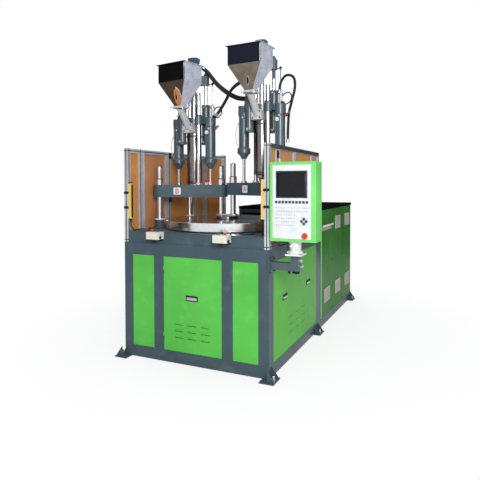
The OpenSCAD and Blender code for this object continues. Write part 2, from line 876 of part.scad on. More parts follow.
module panel_arm() {
    color(slate) {
        block([side + fit, arm_y - arm_w / 2, arm_z], [arm_x + arm_w / 2, arm_y + arm_w / 2, arm_z + arm_w]);
        block([arm_x - arm_w / 2, arm_y - arm_w / 2, arm_z], [arm_x + arm_w / 2, arm_y + arm_w / 2, elbow_z]);
    }
    color(white) block([arm_x - 65, arm_y - 65, elbow_z - 1], [arm_x + 65, arm_y + 65, elbow_z + flange_t]);
}

module panel_swivel() {
    z = swivel_z;
    color(white) {
        post([arm_x, arm_y, z], 58, 18);
        post([arm_x, arm_y, z], 44, neck_h - 12);
        post([arm_x, arm_y, z + neck_h - 13], 56, 13);
    }
    color(black) {
        rod([arm_x - 24, arm_y - 30, z + 58], [arm_x - 44, arm_y - 62, z + 58], 9);
        rod([arm_x - 44, arm_y - 60, z + 64], [arm_x - 44, arm_y - 60, z + 12], 7);
    }
}

panel_x0 = arm_x - panel_w / 2;
panel_y0 = arm_y - panel_d / 2;

module panel_box() {
    color(green) difference() {
        block([panel_x0, panel_y0, panel_z], [panel_x0 + panel_w, panel_y0 + panel_d, panel_z + panel_h]);
        translate([panel_x0 + 22, panel_y0 - 1, panel_z + 22]) cube([panel_w - 60, 4, panel_h - 44]);
        translate([panel_x0 + panel_w - 84, panel_y0 - 1, panel_z + 49]) rotate([-90, 0, 0]) cylinder(r = 12, h = 50);
    }
}

module operator_face() {
    screen = [250, 207];
    key = 18;
    x0 = panel_x0 + 23;
    z0 = panel_z + 23;
    w = panel_w - 62;
    h = panel_h - 46;
    color(white) difference() {
        translate([x0, panel_y0, z0]) cube([w, 3 - fit, h]);
        translate([x0 + (w - screen[0]) / 2, panel_y0 - 1, z0 + h - 45 - screen[1]]) cube([screen[0], 3, screen[1]]);
        translate([panel_x0 + panel_w - 84, panel_y0 - 1, panel_z + 49]) rotate([-90, 0, 0]) cylinder(r = 13, h = 6);
    }
    color(black) for (i = [0:9])
        translate([x0 + 22 + i * 27, panel_y0 - 3, z0 + h - 292]) cube([key, 3.5, key]);
}

module panel_stop() {
    x = panel_x0 + panel_w - 84;
    z = panel_z + 49;
    color(red) translate([x, panel_y0, z]) rotate([90, 0, 0]) {
        translate([0, 0, -30]) cylinder(r = 12 - running, h = 46);
        translate([0, 0, 12]) cylinder(r1 = 19, r2 = 22, h = 6);
        translate([0, 0, 18]) cylinder(r1 = 22, r2 = 17, h = 8);
    }
}

// Guards

// An upright frame of square profile along Y, its lower front corner at y, z
module guard_leaf(s, y, w, z, h) {
    b = bar_w;
    slot = 8;
    groove = board_t + 2 * running;
    translate([s > 0 ? side - b : -side, y, z]) difference() {
        cube([b, w, h]);
        translate([-1, b, b]) cube([b + 2, w - 2 * b, h - 2 * b]);
        translate([b / 2 - groove / 2, b - slot, b - slot])
            cube([groove, w - 2 * b + 2 * slot, h - 2 * b + 2 * slot]);
        for (x = [-1, b - 5]) {
            translate([x, b / 2 - slot / 2, -1]) cube([6, slot, h + 2]);
            translate([x, w - b / 2 - slot / 2, -1]) cube([6, slot, h + 2]);
        }
    }
}

module guard_board(s, y, w, z, h) {
    b = bar_w;
    reach = 6;
    x = s > 0 ? side - b / 2 : -side + b / 2;
    translate([x - board_t / 2, y + b - reach, z + b - reach]) cube([board_t, w - 2 * b + 2 * reach, h - 2 * b + 2 * reach]);
}

gap = 4;
hinge_x = side + 10;
hinge_h = 30;
hinge_z = [ledge_z + 120, ledge_z + guard_h - 180];
leaf_z = ledge_z + 8;
leaf_h = guard_h - 8;
door_y = front + guard_front_d + gap;
rear_y = door_y + guard_door_w + gap;
rear_w = 556;
end_y = rear_y + rear_w;
end_w = front + guard_d - end_y;
return_x = -side + bar_w + running;
return_w = 270;

// One half of a lift-off hinge on side s at y, its leaf reaching along Y by d
module hinge_half(s, y, z, d, pin) {
    r = 9;
    pin_r = 4;
    leaf_t = 4;
    difference() {
        union() {
            post([s * hinge_x, y, z], r, hinge_h);
            translate([s > 0 ? side : -hinge_x, min(y, y + d), z]) cube([hinge_x - side, abs(d), hinge_h]);
        }
        translate([s > 0 ? side + leaf_t : -hinge_x - 1, min(y + sign(d) * r, y + d), z - 1])
            cube([hinge_x - side - leaf_t + 1, abs(d) - r, hinge_h + 2]);
        if (!pin) post([s * hinge_x, y, z - 1], pin_r + fit, hinge_h + 2);
    }
    if (pin) post([s * hinge_x, y, z + hinge_h - 1], pin_r, hinge_h);
}

module door_hinges(s, pin) {
    y = s > 0 ? door_y - gap / 2 : door_y + guard_door_w + gap / 2;
    away = s > 0 ? -1 : 1;
    for (z = hinge_z)
        hinge_half(s, y, pin ? z : z + hinge_h + running, (pin ? away : -away) * 32, pin);
}

module guard_frame() {
    color(steel) {
        for (s = [-1, 1]) door_hinges(s, true);
        for (s = [-1, 1]) {
            guard_leaf(s, front, guard_front_d, ledge_z, guard_h);
            guard_leaf(s, rear_y, rear_w - fit, ledge_z, guard_h);
            guard_leaf(s, end_y, end_w, ledge_z, guard_h);
        }
        translate([return_x, front + guard_d, 0]) rotate([0, 0, -90])
            translate([-side + bar_w, 0, 0]) guard_leaf(1, 0, return_w, ledge_z, guard_h);
    }
}

module guard_boards() {
    color(kraft) {
        for (s = [-1, 1]) {
            guard_board(s, front, guard_front_d, ledge_z, guard_h);
            guard_board(s, rear_y, rear_w - fit, ledge_z, guard_h);
            guard_board(s, end_y, end_w, ledge_z, guard_h);
        }
        translate([return_x, front + guard_d, 0]) rotate([0, 0, -90])
            translate([-side + bar_w, 0, 0]) guard_board(1, 0, return_w, ledge_z, guard_h);
    }
}

module guard_door(s) {
    color(steel) {
        guard_leaf(s, door_y, guard_door_w, leaf_z, leaf_h);
        door_hinges(s, false);
    }
}

module door_board(s) {
    color(kraft) guard_board(s, door_y, guard_door_w, leaf_z, leaf_h);
}

module light_curtains() {
    w = 30;
    lift = [106, 136];
    color(yellow) for (s = [0, 1]) mirror([s, 0, 0])
        translate([side - bar_w - w - running, bed_y0, bed_z + lift[1 - s]]) {
            difference() {
                cube([w, w, curtain_len]);
                translate([-1, w / 2 - 5, 16]) cube([4, 10, curtain_len - 32]);
            }
            for (h = [24, curtain_len - 48]) translate([w - 1, -3, h]) cube([1 + running, w + 6, 24]);
        }
}

// Hand stations

station = [130, 80, 72];
station_x = [-412, 237];
station_z = 1070;
button_r = 15;

module hand_stations() {
    color(white) for (x = station_x) difference() {
        translate([x, hand_y - station[1], station_z]) cube([station[0], station[1] - fit, station[2]]);
        for (i = [0, 1])
            post([x + 35 + i * 60, hand_y - station[1] / 2, station_z + 30], button_r - 5 + running, 60, $fn = 32);
    }
}

module push_button(x, mushroom) {
    z = station_z + station[2];
    translate([x, hand_y - station[1] / 2, 0]) {
        post([0, 0, z - 26], button_r - 5, 38);
        if (mushroom) translate([0, 0, z + 10]) cylinder(r1 = 18, r2 = 14, h = 12);
        else post([0, 0, z + 8], button_r, 8);
    }
}

function unit_at(s) = [s * unit_x, 0, 0];
platen_a_z = platen_z + platen_a_lift;
top_a = platen_a_z + platen_t;
top_b = platen_z + platen_t;
car_a = top_a + carriage_a_lift;
car_b = top_b;

base_frame();
anchor_feet();
machine_bed();
front_panels();
front_door();
side_panels();
cabinet_frame();
cabinet_panels();
cabinet_top();
vent_grilles();
oil_tank();
pump_motor();
rotary_table();
centre_hub();
clamp_cylinders();
platen(platen_a_z);  // platen_a
tie_bars(platen_a_z);  // tie_bars_a
lower_platen();  // lower_platen_a
translate(unit_at(1)) unit_rods(top_a);  // unit_rods_a
translate(unit_at(1)) carriage(car_a);  // carriage_a
translate(unit_at(1)) cylinders(car_a);  // cylinders_a
translate(unit_at(1)) barrel(car_a);  // barrel_a
translate(unit_at(1)) feed_throat(car_a);  // feed_throat_a
translate(unit_at(1)) hopper(car_a, hopper_a_turn);  // hopper_a
translate(unit_at(1)) yoke(car_a);  // yoke_a
translate(unit_at(1)) screw(car_a);  // screw_a
translate(unit_at(1)) screw_motor(car_a);  // screw_motor_a
translate(unit_at(1)) transducer(car_a);  // transducer_a
translate(unit_at(1)) hoses(car_a, hose_a, hose_a_r, from_a, to_a);  // hoses_a
mirror([1, 0, 0]) platen(platen_z);  // platen_b
mirror([1, 0, 0]) tie_bars(platen_z);  // tie_bars_b
mirror([1, 0, 0]) lower_platen();  // lower_platen_b
translate(unit_at(-1)) unit_rods(top_b);  // unit_rods_b
translate(unit_at(-1)) carriage(car_b);  // carriage_b
translate(unit_at(-1)) cylinders(car_b);  // cylinders_b
translate(unit_at(-1)) barrel(car_b);  // barrel_b
translate(unit_at(-1)) feed_throat(car_b);  // feed_throat_b
translate(unit_at(-1)) hopper(car_b, hopper_b_turn);  // hopper_b
translate(unit_at(-1)) yoke(car_b);  // yoke_b
translate(unit_at(-1)) screw(car_b);  // screw_b
translate(unit_at(-1)) screw_motor(car_b);  // screw_motor_b
translate(unit_at(-1)) transducer(car_b);  // transducer_b
translate(unit_at(-1)) hoses(car_b, hose_b, hose_b_r, from_b, to_b);  // hoses_b
panel_arm();
panel_swivel();
panel_box();
operator_face();
panel_stop();
guard_frame();
guard_boards();
guard_door(-1);  // door_left
door_board(-1);  // door_left_board
guard_door(1);  // door_right
door_board(1);  // door_right_board
light_curtains();
hand_stations();
color(red) push_button(station_x[0] + 35, true);  // stop_left
color(key_green) push_button(station_x[0] + 95, false);  // start_left
color(red) push_button(station_x[1] + 95, true);  // stop_right
color(key_green) push_button(station_x[1] + 35, false);  // start_right
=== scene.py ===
import itertools
import math

import bpy
from mathutils import Matrix, Vector


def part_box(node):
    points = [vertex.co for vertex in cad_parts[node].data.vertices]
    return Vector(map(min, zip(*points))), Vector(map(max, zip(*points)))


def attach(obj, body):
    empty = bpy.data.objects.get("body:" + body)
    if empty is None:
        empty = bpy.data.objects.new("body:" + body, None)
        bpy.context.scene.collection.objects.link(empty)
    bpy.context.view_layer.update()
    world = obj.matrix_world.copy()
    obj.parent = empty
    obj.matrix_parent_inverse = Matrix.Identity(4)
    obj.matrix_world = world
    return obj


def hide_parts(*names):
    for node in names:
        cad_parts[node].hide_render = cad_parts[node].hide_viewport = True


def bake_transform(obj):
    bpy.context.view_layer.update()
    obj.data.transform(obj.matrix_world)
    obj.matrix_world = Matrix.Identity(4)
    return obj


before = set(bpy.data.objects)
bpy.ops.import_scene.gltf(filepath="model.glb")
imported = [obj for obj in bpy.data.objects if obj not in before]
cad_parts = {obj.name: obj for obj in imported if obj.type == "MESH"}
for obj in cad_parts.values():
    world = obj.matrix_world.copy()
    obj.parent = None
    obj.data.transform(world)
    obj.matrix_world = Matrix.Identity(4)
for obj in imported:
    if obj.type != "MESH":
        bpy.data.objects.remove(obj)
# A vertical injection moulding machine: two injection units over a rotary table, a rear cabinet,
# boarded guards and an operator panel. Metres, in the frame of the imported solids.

bl_info = {
    "name": "Rotary table moulding machine",
    "version": (1, 0, 0),
    "blender": (4, 5, 0),
    "location": "View3D > Sidebar > Moulding",
    "description": "Dresses the vertical injection moulding machine with its finishes and fittings",
    "category": "Object",
}

# Where the solids stand: the base's sides and front, the bed's top and the guards' top rail.
SIDE = 0.7
FRONT = -0.68
BED_Z = 1.136
GUARD_Z = 1.88
POST_Y = (-0.66, -0.487, 0.001, 0.517, 0.557, 0.74)
# The table's top, the platens and their tie bars.
TABLE_Z = 1.2203
PLATEN_T = 0.117
BAR_OUT = (0.588, 0.283)
BAR_IN_X = 0.065
# The injection units: their axes, the levels they stand at, and their cylinders' and rods' axes.
UNIT_X = 0.363
PLATEN_TOP = {"a": 1.5683, "b": 1.5483}
CARRIAGE_Z = {"a": 1.6343, "b": 1.5483}
UNIT_SIGN = {"a": 1, "b": -1}
SHIFT_X = 0.182
SHIFT_AXES = ((-SHIFT_X, 0), (SHIFT_X, 0))
INJECT_AXES = ((-0.092, -0.076), (0.092, 0.076))
GUIDE_AXES = ((-0.092, 0.076), (0.092, -0.076))
GAUGE_AXIS = (0.142, 0.124)
STATION_Z = 1.070
# The hoppers, which stand before their unit, a little turned.
HOPPER_TURN = {"a": math.radians(-4), "b": math.radians(-10)}
HOPPER_BASE = 0.738
HOPPER_Y = 0.264
HOPPER_W = 0.32
HOPPER_D = 0.25
HOPPER_OUTLET = 0.038
STUB_H = 0.008
FUNNEL_H = 0.215
HOPPER_BOX_H = 0.165
HOPPER_FRONT = HOPPER_D / 2
# The rear cabinet, then the panel's arm and box.
CAB_X0 = -0.263
CAB_Y0 = 0.84
CAB_Y1 = 2.363
CAB_TOP = 1.302
CAB_BAY = 0.508
CAB_MIDDLE = 0.2185
POST_X = 0.68
CURTAIN = (0.6447, -0.66)
ARM = (0.905, -0.64)
PANEL_X0 = 0.7215
PANEL_FRONT = -0.7175
PANEL_Z = 1.1173


# Model tools: every piece starts from a primitive and is shaped in edit mode

def nothing_selected():
    if bpy.context.mode != "OBJECT":
        bpy.ops.object.mode_set(mode="OBJECT")
    bpy.ops.object.select_all(action="DESELECT")


def only(obj):
    nothing_selected()
    obj.select_set(True)
    bpy.context.view_layer.objects.active = obj


def in_place(obj):
    """The piece's place goes into its mesh, so that its object sits at the origin."""
    only(obj)
    bpy.ops.object.transform_apply(location=True, rotation=True, scale=True)
    return obj


def outward(obj):
    only(obj)
    bpy.ops.object.mode_set(mode="EDIT")
    bpy.ops.mesh.select_all(action="SELECT")
    bpy.ops.mesh.remove_doubles(threshold=1e-6)
    bpy.ops.mesh.normals_make_consistent(inside=False)
    bpy.ops.object.mode_set(mode="OBJECT")
    return obj


def rounded(obj, width, segments=2, angle=40):
    only(obj)
    edge = obj.modifiers.new("Edge", "BEVEL")
    edge.width = width
    edge.segments = segments
    edge.limit_method = "ANGLE"
    edge.angle_limit = math.radians(angle)
    bpy.ops.object.modifier_apply(modifier=edge.name)
    return obj


def block(low, high, edge=0.002, segments=2):
    """A block between two corners with its edges rounded over."""
    nothing_selected()
    low, high = Vector(low), Vector(high)
    bpy.ops.mesh.primitive_cube_add(size=1, location=(low + high) / 2)
    obj = bpy.context.active_object
    obj.scale = high - low
    in_place(obj)
    return rounded(obj, edge, segments) if edge else obj


def turned(steps, at=(0, 0, 0), axis=(0, 0, 1), sides=32, spin=0.0):
    """A piece turned from a disc: steps are radius and height along the axis."""
    nothing_selected()
    radius, height = steps[0]
    bpy.ops.mesh.primitive_circle_add(
        vertices=sides, radius=radius, fill_type="NGON", location=(0, 0, height), rotation=(0, 0, spin))
    obj = in_place(bpy.context.active_object)
    bpy.ops.object.mode_set(mode="EDIT")
    bpy.ops.mesh.select_all(action="SELECT")
    for r, h in steps[1:]:
        bpy.ops.mesh.extrude_region_move(TRANSFORM_OT_translate={"value": (0, 0, h - height)})
        if r != radius:
            bpy.ops.transform.resize(value=(r / radius, r / radius, 1))
        radius, height = r, h
    bpy.ops.object.mode_set(mode="OBJECT")
    outward(obj)
    obj.rotation_mode = "QUATERNION"
    obj.rotation_quaternion = Vector((0, 0, 1)).rotation_difference(Vector(axis))
    obj.location = at
    in_place(obj)
    obj.rotation_mode = "XYZ"
    return obj


def lathe(steps, **more):
    """A turned piece whose steps are in millimetres."""
    return turned([(radius / 1000, height / 1000) for radius, height in steps], **more)


def slab(low, high, edge, segments=2):
    """A block whose sizes are in millimetres."""
    return block(Vector(low) / 1000, Vector(high) / 1000, edge / 1000, segments)


def faces_front(centre, normal):
    return normal.y < -0.9


def faces_up(centre, normal):
    return normal.z > 0.9


def faces_down(centre, normal):
    return normal.z < -0.9


def faces_right(centre, normal):
    return normal.x > 0.9


def faces_sideways(centre, normal):
    return abs(normal.x) > 0.9


def faces_up_or_down(centre, normal):
    return abs(normal.z) > 0.9


def faces_where(obj, test):
    """Into edit mode with the faces selected that pass the test on their middle and normal."""
    only(obj)
    bpy.ops.object.mode_set(mode="EDIT")
    bpy.ops.mesh.select_mode(type="FACE")
    bpy.ops.mesh.select_all(action="DESELECT")
    bpy.ops.object.mode_set(mode="OBJECT")
    for face in obj.data.polygons:
        face.select = test(face.center, face.normal)
    bpy.ops.object.mode_set(mode="EDIT")


def sunk(obj, test, rim, depth):
    """The chosen faces get a rim and go in by depth."""
    faces_where(obj, test)
    bpy.ops.mesh.inset(thickness=rim)
    bpy.ops.mesh.extrude_region_shrink_fatten(TRANSFORM_OT_shrink_fatten={"value": -depth})
    bpy.ops.object.mode_set(mode="OBJECT")
    return obj


def ring(steps, sides=32):
    """An open ring: its section's steps, in millimetres, come back to the first, and both caps go."""
    obj = lathe([*steps, steps[0]], sides=sides)
    faces_where(obj, lambda c, n: abs(c.x) < 1e-5 and abs(c.y) < 1e-5)
    bpy.ops.mesh.delete(type="ONLY_FACE")
    bpy.ops.object.mode_set(mode="OBJECT")
    return outward(obj)


def copies(obj, moves):
    """The piece again at each move, a vector or a vector and a turn about Z, joined into one."""
    made = [obj]
    for move in moves:
        shift, turn = move if isinstance(move, tuple) and len(move) == 2 else (move, 0)
        only(obj)
        bpy.ops.object.duplicate(linked=False)
        again = bpy.context.active_object
        again.rotation_euler.z = turn
        again.location = shift
        in_place(again)
        made.append(again)
    return joined(made)


def at_places(obj, places):
    """The piece, modelled at the origin, set at each place and joined into one."""
    whole = copies(obj, places)
    only(whole)
    count = len(obj.data.vertices) // (len(places) + 1)
    bpy.ops.object.mode_set(mode="EDIT")
    bpy.ops.mesh.select_all(action="DESELECT")
    bpy.ops.object.mode_set(mode="OBJECT")
    for vertex in whole.data.vertices[:count]:
        vertex.select = True
    bpy.ops.object.mode_set(mode="EDIT")
    bpy.ops.mesh.delete(type="VERT")
    bpy.ops.object.mode_set(mode="OBJECT")
    return whole


def grid(*sides):
    """Every place whose X, Y and Z come from the sides, each a number or several."""
    return [Vector(place) for place in itertools.product(*(
        side if isinstance(side, (tuple, list)) else (side,) for side in sides))]


def moved(places, x=0.0, y=0.0, z=0.0):
    return [Vector(place) + Vector((x, y, z)) for place in places]


def evenly(count, first=0.0):
    """Angles that share a circle evenly."""
    return [first + k * 2 * math.pi / count for k in range(count)]


def circle(radius, angles, z):
    return [Vector((radius * math.cos(a), radius * math.sin(a), z)) for a in angles]


def duplicate_of(obj):
    """A copy of the piece with its own mesh."""
    only(obj)
    bpy.ops.object.duplicate(linked=False)
    return bpy.context.active_object


def joined(parts):
    nothing_selected()
    for part in parts:
        part.select_set(True)
    bpy.context.view_layer.objects.active = parts[0]
    if len(parts) > 1:
        bpy.ops.object.join()
    return parts[0]


def smooth_line(points, steps=4):
    """Points on a smooth line through given ones, as the solids' hoses follow."""
    line = []
    last = len(points) - 1
    for i in range(last):
        a, b, c, d = (Vector(points[k]) for k in (max(i - 1, 0), i, i + 1, min(i + 2, last)))
        for k in range(steps):
            t = k / steps
            line.append(b + 0.5 * t * (c - a + t * (2 * a - 5 * b + 4 * c - d + t * (3 * b - a - 3 * c + d))))
    return line + [Vector(points[-1])]


def tube(points, radius, sides=4):
    """A round tube along points, as a mesh."""
    nothing_selected()
    bpy.ops.curve.primitive_nurbs_path_add()
    obj = bpy.context.active_object
    curve = obj.data
    curve.splines.clear()
    line = curve.splines.new("POLY")
    line.points.add(len(points) - 1)
    for point, place in zip(line.points, points):
        point.co = (*place, 1)
    curve.bevel_depth = radius
    curve.bevel_resolution = sides
    curve.use_fill_caps = True
    obj.location = (0, 0, 0)
    bpy.ops.object.convert(target="MESH")
    return obj


def place_piece(obj, name, finish, body="base", smooth=35):
    """Names the finished piece, gives it its finish and lets it ride on its body, if it has just one."""
    only(obj)
    if smooth:
        bpy.ops.object.shade_smooth_by_angle(angle=math.radians(smooth))
    obj.name = name
    obj.data.name = name
    obj.data.materials.clear()
    obj.data.materials.append(FINISHES[finish])
    if body:
        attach(obj, body)
    return obj


def fit(shape, places, name, finish, body="base"):
    """The shape at each of its places, as one finished piece."""
    return place_piece(at_places(shape, places), name, finish, body)


def fitter(group, unit):
    """What fits pieces to one body of unit A or B, with the unit's letter in their names."""
    def put(shape, places, name, finish):
        return fit(shape, places, f"{name}_{unit}", finish, f"{group}_{unit}")
    return put


# Finishes

def linear(red, green, blue):
    """A colour as it is seen, 0 to 255, as the renderer's own numbers."""
    parts = [c / 255 for c in (red, green, blue)]
    return tuple(c / 12.92 if c <= 0.04045 else ((c + 0.055) / 1.055) ** 2.4 for c in parts)


def dimmed(colour, share):
    return tuple(c * share for c in colour)


class Signal:
    """A socket that takes part in sums by adding Math nodes."""

    def __init__(self, finish, socket):
        self.finish, self.socket = finish, socket

    def sum(self, kind, *terms, clamp=False):
        return self.finish.node(
            "ShaderNodeMath", {"operation": kind, "use_clamp": clamp}, dict(enumerate(terms)))

    def __add__(self, other):
        return self.sum("ADD", self, other)

    def __sub__(self, other):
        return self.sum("SUBTRACT", self, other)

    def __rsub__(self, other):
        return self.sum("SUBTRACT", other, self)

    def __mul__(self, other):
        return self.sum("MULTIPLY", self, other)

    __radd__ = __add__
    __rmul__ = __mul__

    def __gt__(self, other):
        return self.sum("GREATER_THAN", self, other)

    def __lt__(self, other):
        return self.sum("LESS_THAN", self, other)


class Finish:
    """A procedural material for one of the machine's finishes."""

    def __init__(self, name):
        self.material = bpy.data.materials.new(name)
        self.material.use_nodes = True
        self.tree = self.material.node_tree
        self.shader = self.tree.nodes["Principled BSDF"]
        self.place = self.node("ShaderNodeTexCoord", output="Object")

    def node(self, kind, settings=None, values=None, output=0):
        made = self.tree.nodes.new(kind)
        for name, value in (settings or {}).items():
            if name == "stops":
                ramp = made.color_ramp.elements
                while len(ramp) < len(value):
                    ramp.new(1)
                for stop, (where, level) in zip(ramp, value):
                    stop.position = where
                    stop.color = (level, level, level, 1)
            else:
                setattr(made, name, value)
        for key, value in (values or {}).items():
            self.feed(made.inputs[key], value)
        return Signal(self, made.outputs[output])

    def feed(self, socket, value):
        if isinstance(value, Signal):
            self.tree.links.new(value.socket, socket)
        elif isinstance(value, tuple) and len(value) == 3 and socket.type == "RGBA":
            socket.default_value = (*value, 1)
        else:
            socket.default_value = value

    def stretched(self, scale, turn=(0, 0, 0)):
        return self.node("ShaderNodeMapping", None, {"Vector": self.place, "Rotation": turn, "Scale": scale})

    def grain(self, scale, detail=2.0, rough=0.5, vector=None):
        return self.node("ShaderNodeTexNoise", None, {
            "Vector": vector or self.place, "Scale": scale, "Detail": detail, "Roughness": rough})

    def level(self, signal, low, high, to_low=0.0, to_high=1.0):
        return self.node("ShaderNodeMapRange", None, {0: signal, 1: low, 2: high, 3: to_low, 4: to_high})

    def mix(self, share, one, other):
        return self.node("ShaderNodeMix", {"data_type": "RGBA"}, {0: share, 6: one, 7: other}, output=2)

    def axis(self, name):
        """The place along X, Y or Z in metres."""
        if not hasattr(self, "parts"):
            self.parts = self.node("ShaderNodeSeparateXYZ", None, {0: self.place}).socket.node
        return Signal(self, self.parts.outputs[name])

    def bump(self, height, strength=0.2, distance=0.001):
        return self.node("ShaderNodeBump", None, {
            "Height": height, "Strength": strength, "Distance": distance}, output="Normal")

    def done(self, varying, **fixed):
        for name, value in {**fixed, **varying}.items():
            self.feed(self.shader.inputs[name.replace("_", " ")], value)
        return self.material


def painted(name, colour, rough=0.38, dust=0.05, shine=0.2, texture=0.12):
    """Sprayed enamel: orange peel, faint clouds, dust that dulls it and small chips."""
    f = Finish(name)
    clouds = f.grain(2.2, 4.0)
    peel = f.grain(420.0, 2.0)
    specks = f.level(f.grain(160.0, 3.0), 0.70, 0.74)
    dark = dimmed(colour, 0.80)
    pale = tuple(c + (1 - c) * dust for c in colour)
    shade = f.mix(f.level(clouds, 0.3, 0.7), dark, colour)
    shade = f.mix(f.level(f.grain(9.0, 5.0), 0.55, 0.8, 0.0, 0.7), shade, pale)
    shade = f.mix(specks * 0.35, shade, dimmed(colour, 0.45))
    return f.done({
        "Base Color": shade,
        "Roughness": f.level(clouds, 0.25, 0.75, rough - 0.06, rough + 0.12),
        "Normal": f.bump(peel, texture, 0.0008),
    }, Specular_IOR_Level=shine)


def metal(name, colour, rough=0.25, scale=(1, 1, 1), scratches=300.0, strength=0.15, spread=0.1, tarnish=0.2):
    """Bare metal: drawn or turned marks that run along the small scale, with smears of oil."""
    f = Finish(name)
    marks = f.grain(scratches, 3.0, 0.6, f.stretched(scale))
    smears = f.grain(14.0, 4.0, 0.55)
    dull = tuple(c * (1 - tarnish) for c in colour)
    return f.done({
        "Base Color": f.mix(f.level(marks * 0.6 + smears * 0.4, 0.35, 0.65), dull, colour),
        "Roughness": f.level(marks * 0.5 + smears * 0.5, 0.3, 0.7, rough - spread / 2, rough + spread),
        "Normal": f.bump(marks, strength, 0.0003),
    }, Metallic=1.0)


def moulded(name, colour, rough=0.4, grain=700.0, strength=0.1):
    """Moulded plastic or rubber with a fine spark-eroded grain and handling marks."""
    f = Finish(name)
    smears = f.grain(28.0, 4.0)
    dark = dimmed(colour, 0.82)
    return f.done({
        "Base Color": f.mix(f.level(smears, 0.35, 0.7), dark, colour),
        "Roughness": f.level(smears, 0.3, 0.7, rough - 0.06, rough + 0.14),
        "Normal": f.bump(f.grain(grain, 2.0), strength, 0.0004),
    }, Specular_IOR_Level=0.3)


def board(name, colour, seed):
    """Hardboard: kraft fibres, clouds of darker glue and rubbed places."""
    f = Finish(name)
    fibres = f.grain(260.0, 5.0, 0.7, f.stretched((1, 1, 0.18), (0, 0, seed)))
    flecks = f.level(f.grain(900.0, 2.0), 0.62, 0.72)
    clouds = f.grain(4.5, 5.0, 0.6)
    shade = f.mix(f.level(clouds, 0.3, 0.7), dimmed(colour, 0.78), colour)
    shade = f.mix(f.level(fibres, 0.4, 0.7, 0.0, 0.5), shade, tuple(min(1, c * 1.35) for c in colour))
    shade = f.mix(flecks * 0.4, shade, dimmed(colour, 0.4))
    return f.done({
        "Base Color": shade,
        "Roughness": f.level(clouds, 0.3, 0.7, 0.5, 0.72),
        "Normal": f.bump(fibres, 0.25, 0.0006),
    })


def table_steel(name):
    """The turned and ground table: rings round its axis, radial smears and spots of oil."""
    f = Finish(name)
    x, y = f.axis("X"), f.axis("Y")
    square = x * x + y * y
    radius = square.sum("SQRT", square)
    rings = f.node("ShaderNodeTexNoise", {"noise_dimensions": "1D"},
                   {"W": radius, "Scale": 900.0, "Detail": 3.0})
    smears = f.grain(5.0, 4.0, 0.5)
    spots = f.level(f.grain(60.0, 2.0), 0.68, 0.75)
    shade = f.mix(f.level(rings * 0.5 + smears * 0.5, 0.35, 0.65), linear(196, 197, 200), linear(232, 233, 235))
    return f.done({
        "Base Color": f.mix(spots * 0.3, shade, linear(96, 92, 88)),
        "Roughness": f.level(rings * 0.5 + smears * 0.5, 0.3, 0.7, 0.14, 0.26),
        "Normal": f.bump(rings, 0.12, 0.0002),
    }, Metallic=1.0)


def two_part(name, test, first, second):
    """One node of two finishes: where test is true it is second. Colour, roughness and metal all change."""
    f = Finish(name)
    where = test(f)
    smears = f.grain(12.0, 4.0)
    fine = f.grain(420.0, 2.0)

    def shade(colour):
        return f.mix(f.level(smears, 0.3, 0.7), dimmed(colour, 0.8), colour)

    return f.done({
        "Base Color": f.mix(where, shade(first[0]), shade(second[0])),
        "Roughness": where * (second[1] - first[1]) + first[1] + f.level(smears, 0.3, 0.7, -0.04, 0.08),
        "Metallic": where * (second[2] - first[2]) + first[2],
        "Normal": f.bump(fine, 0.12, 0.0005),
    })


def profile(name, colour):
    """Anodised aluminium profile: drawn along its length, with a painted shadow down the groove in the middle
    of each face.
    """
    f = Finish(name)
    x, y, z = (f.axis(side) for side in "XYZ")
    # Painted shadow: a dark line down each groove, where it lies in shade.
    groove_shadow = None
    for signal, middles in ((x.sum("ABSOLUTE", x), (POST_X,)), (y, POST_Y), (z, (1.058, GUARD_Z - 0.02))):
        for middle in middles:
            off = signal - middle
            line = off.sum("ABSOLUTE", off) < 0.0042
            groove_shadow = line if groove_shadow is None else groove_shadow.sum("MAXIMUM", groove_shadow, line)
    marks = f.grain(300.0, 3.0, 0.6, f.stretched((1, 0.05, 0.05)))
    smears = f.grain(11.0, 3.0)
    bright = f.mix(f.level(smears, 0.3, 0.7), dimmed(colour, 0.82), colour)
    rail = (x > 0.6) * ((z > GUARD_Z - 0.038) + (z < 1.082)) * (y > -0.63)
    bright = f.mix(rail, bright, linear(92, 92, 98))
    return f.done({
        "Base Color": f.mix(groove_shadow, bright, linear(52, 54, 60)),
        "Metallic": 0.35 - groove_shadow * 0.25,
        "Roughness": f.level(marks * 0.5 + smears * 0.5, 0.3, 0.7, 0.26, 0.40),
        "Normal": f.bump(marks, 0.15, 0.0003),
    })


FINISHES = {}
ENAMEL = {
    "slate": ((72, 90, 98), 0.36),
    "slate_gloss": ((72, 90, 98), 0.24),
    "green": ((96, 200, 80), 0.34),
    # The next two greens are the front's green painted darker as shade, on the cabinet and the base's sides;
    # the first also colours painted shade in openings.
    "dark_green": ((72, 140, 54), 0.42),
    "side_green": ((96, 184, 72), 0.42),
    "black": ((20, 22, 22), 0.5),
    "beige": ((196, 192, 178), 0.45),
    "white": ((232, 233, 232), 0.34),
    "yellow": ((238, 206, 112), 0.36),
    "panel_green": ((128, 226, 116), 0.36),
}
SHINE = {"slate_gloss": 0.6, "side_green": 0.12, "dark_green": 0.1, "black": 0.0}
METALS = {
    "chrome": (linear(226, 228, 232), {"rough": 0.08, "scale": (1, 1, 0.02), "spread": 0.04, "tarnish": 0.06,
                                       "strength": 0.04}),
    "jacket": (linear(122, 119, 117), {"rough": 0.2, "scale": (1, 1, 0.03), "strength": 0.2, "spread": 0.06}),
    "sheet": (linear(206, 209, 220), {"rough": 0.20, "scale": (0.05, 0.05, 1), "spread": 0.06}),
    "zinc": (linear(196, 198, 200), {"rough": 0.30, "scratches": 500.0}),
    "brass": (linear(196, 128, 88), {"rough": 0.26, "scratches": 400.0}),
    "dark_steel": (linear(74, 74, 78), {"rough": 0.36, "scratches": 500.0}),
}
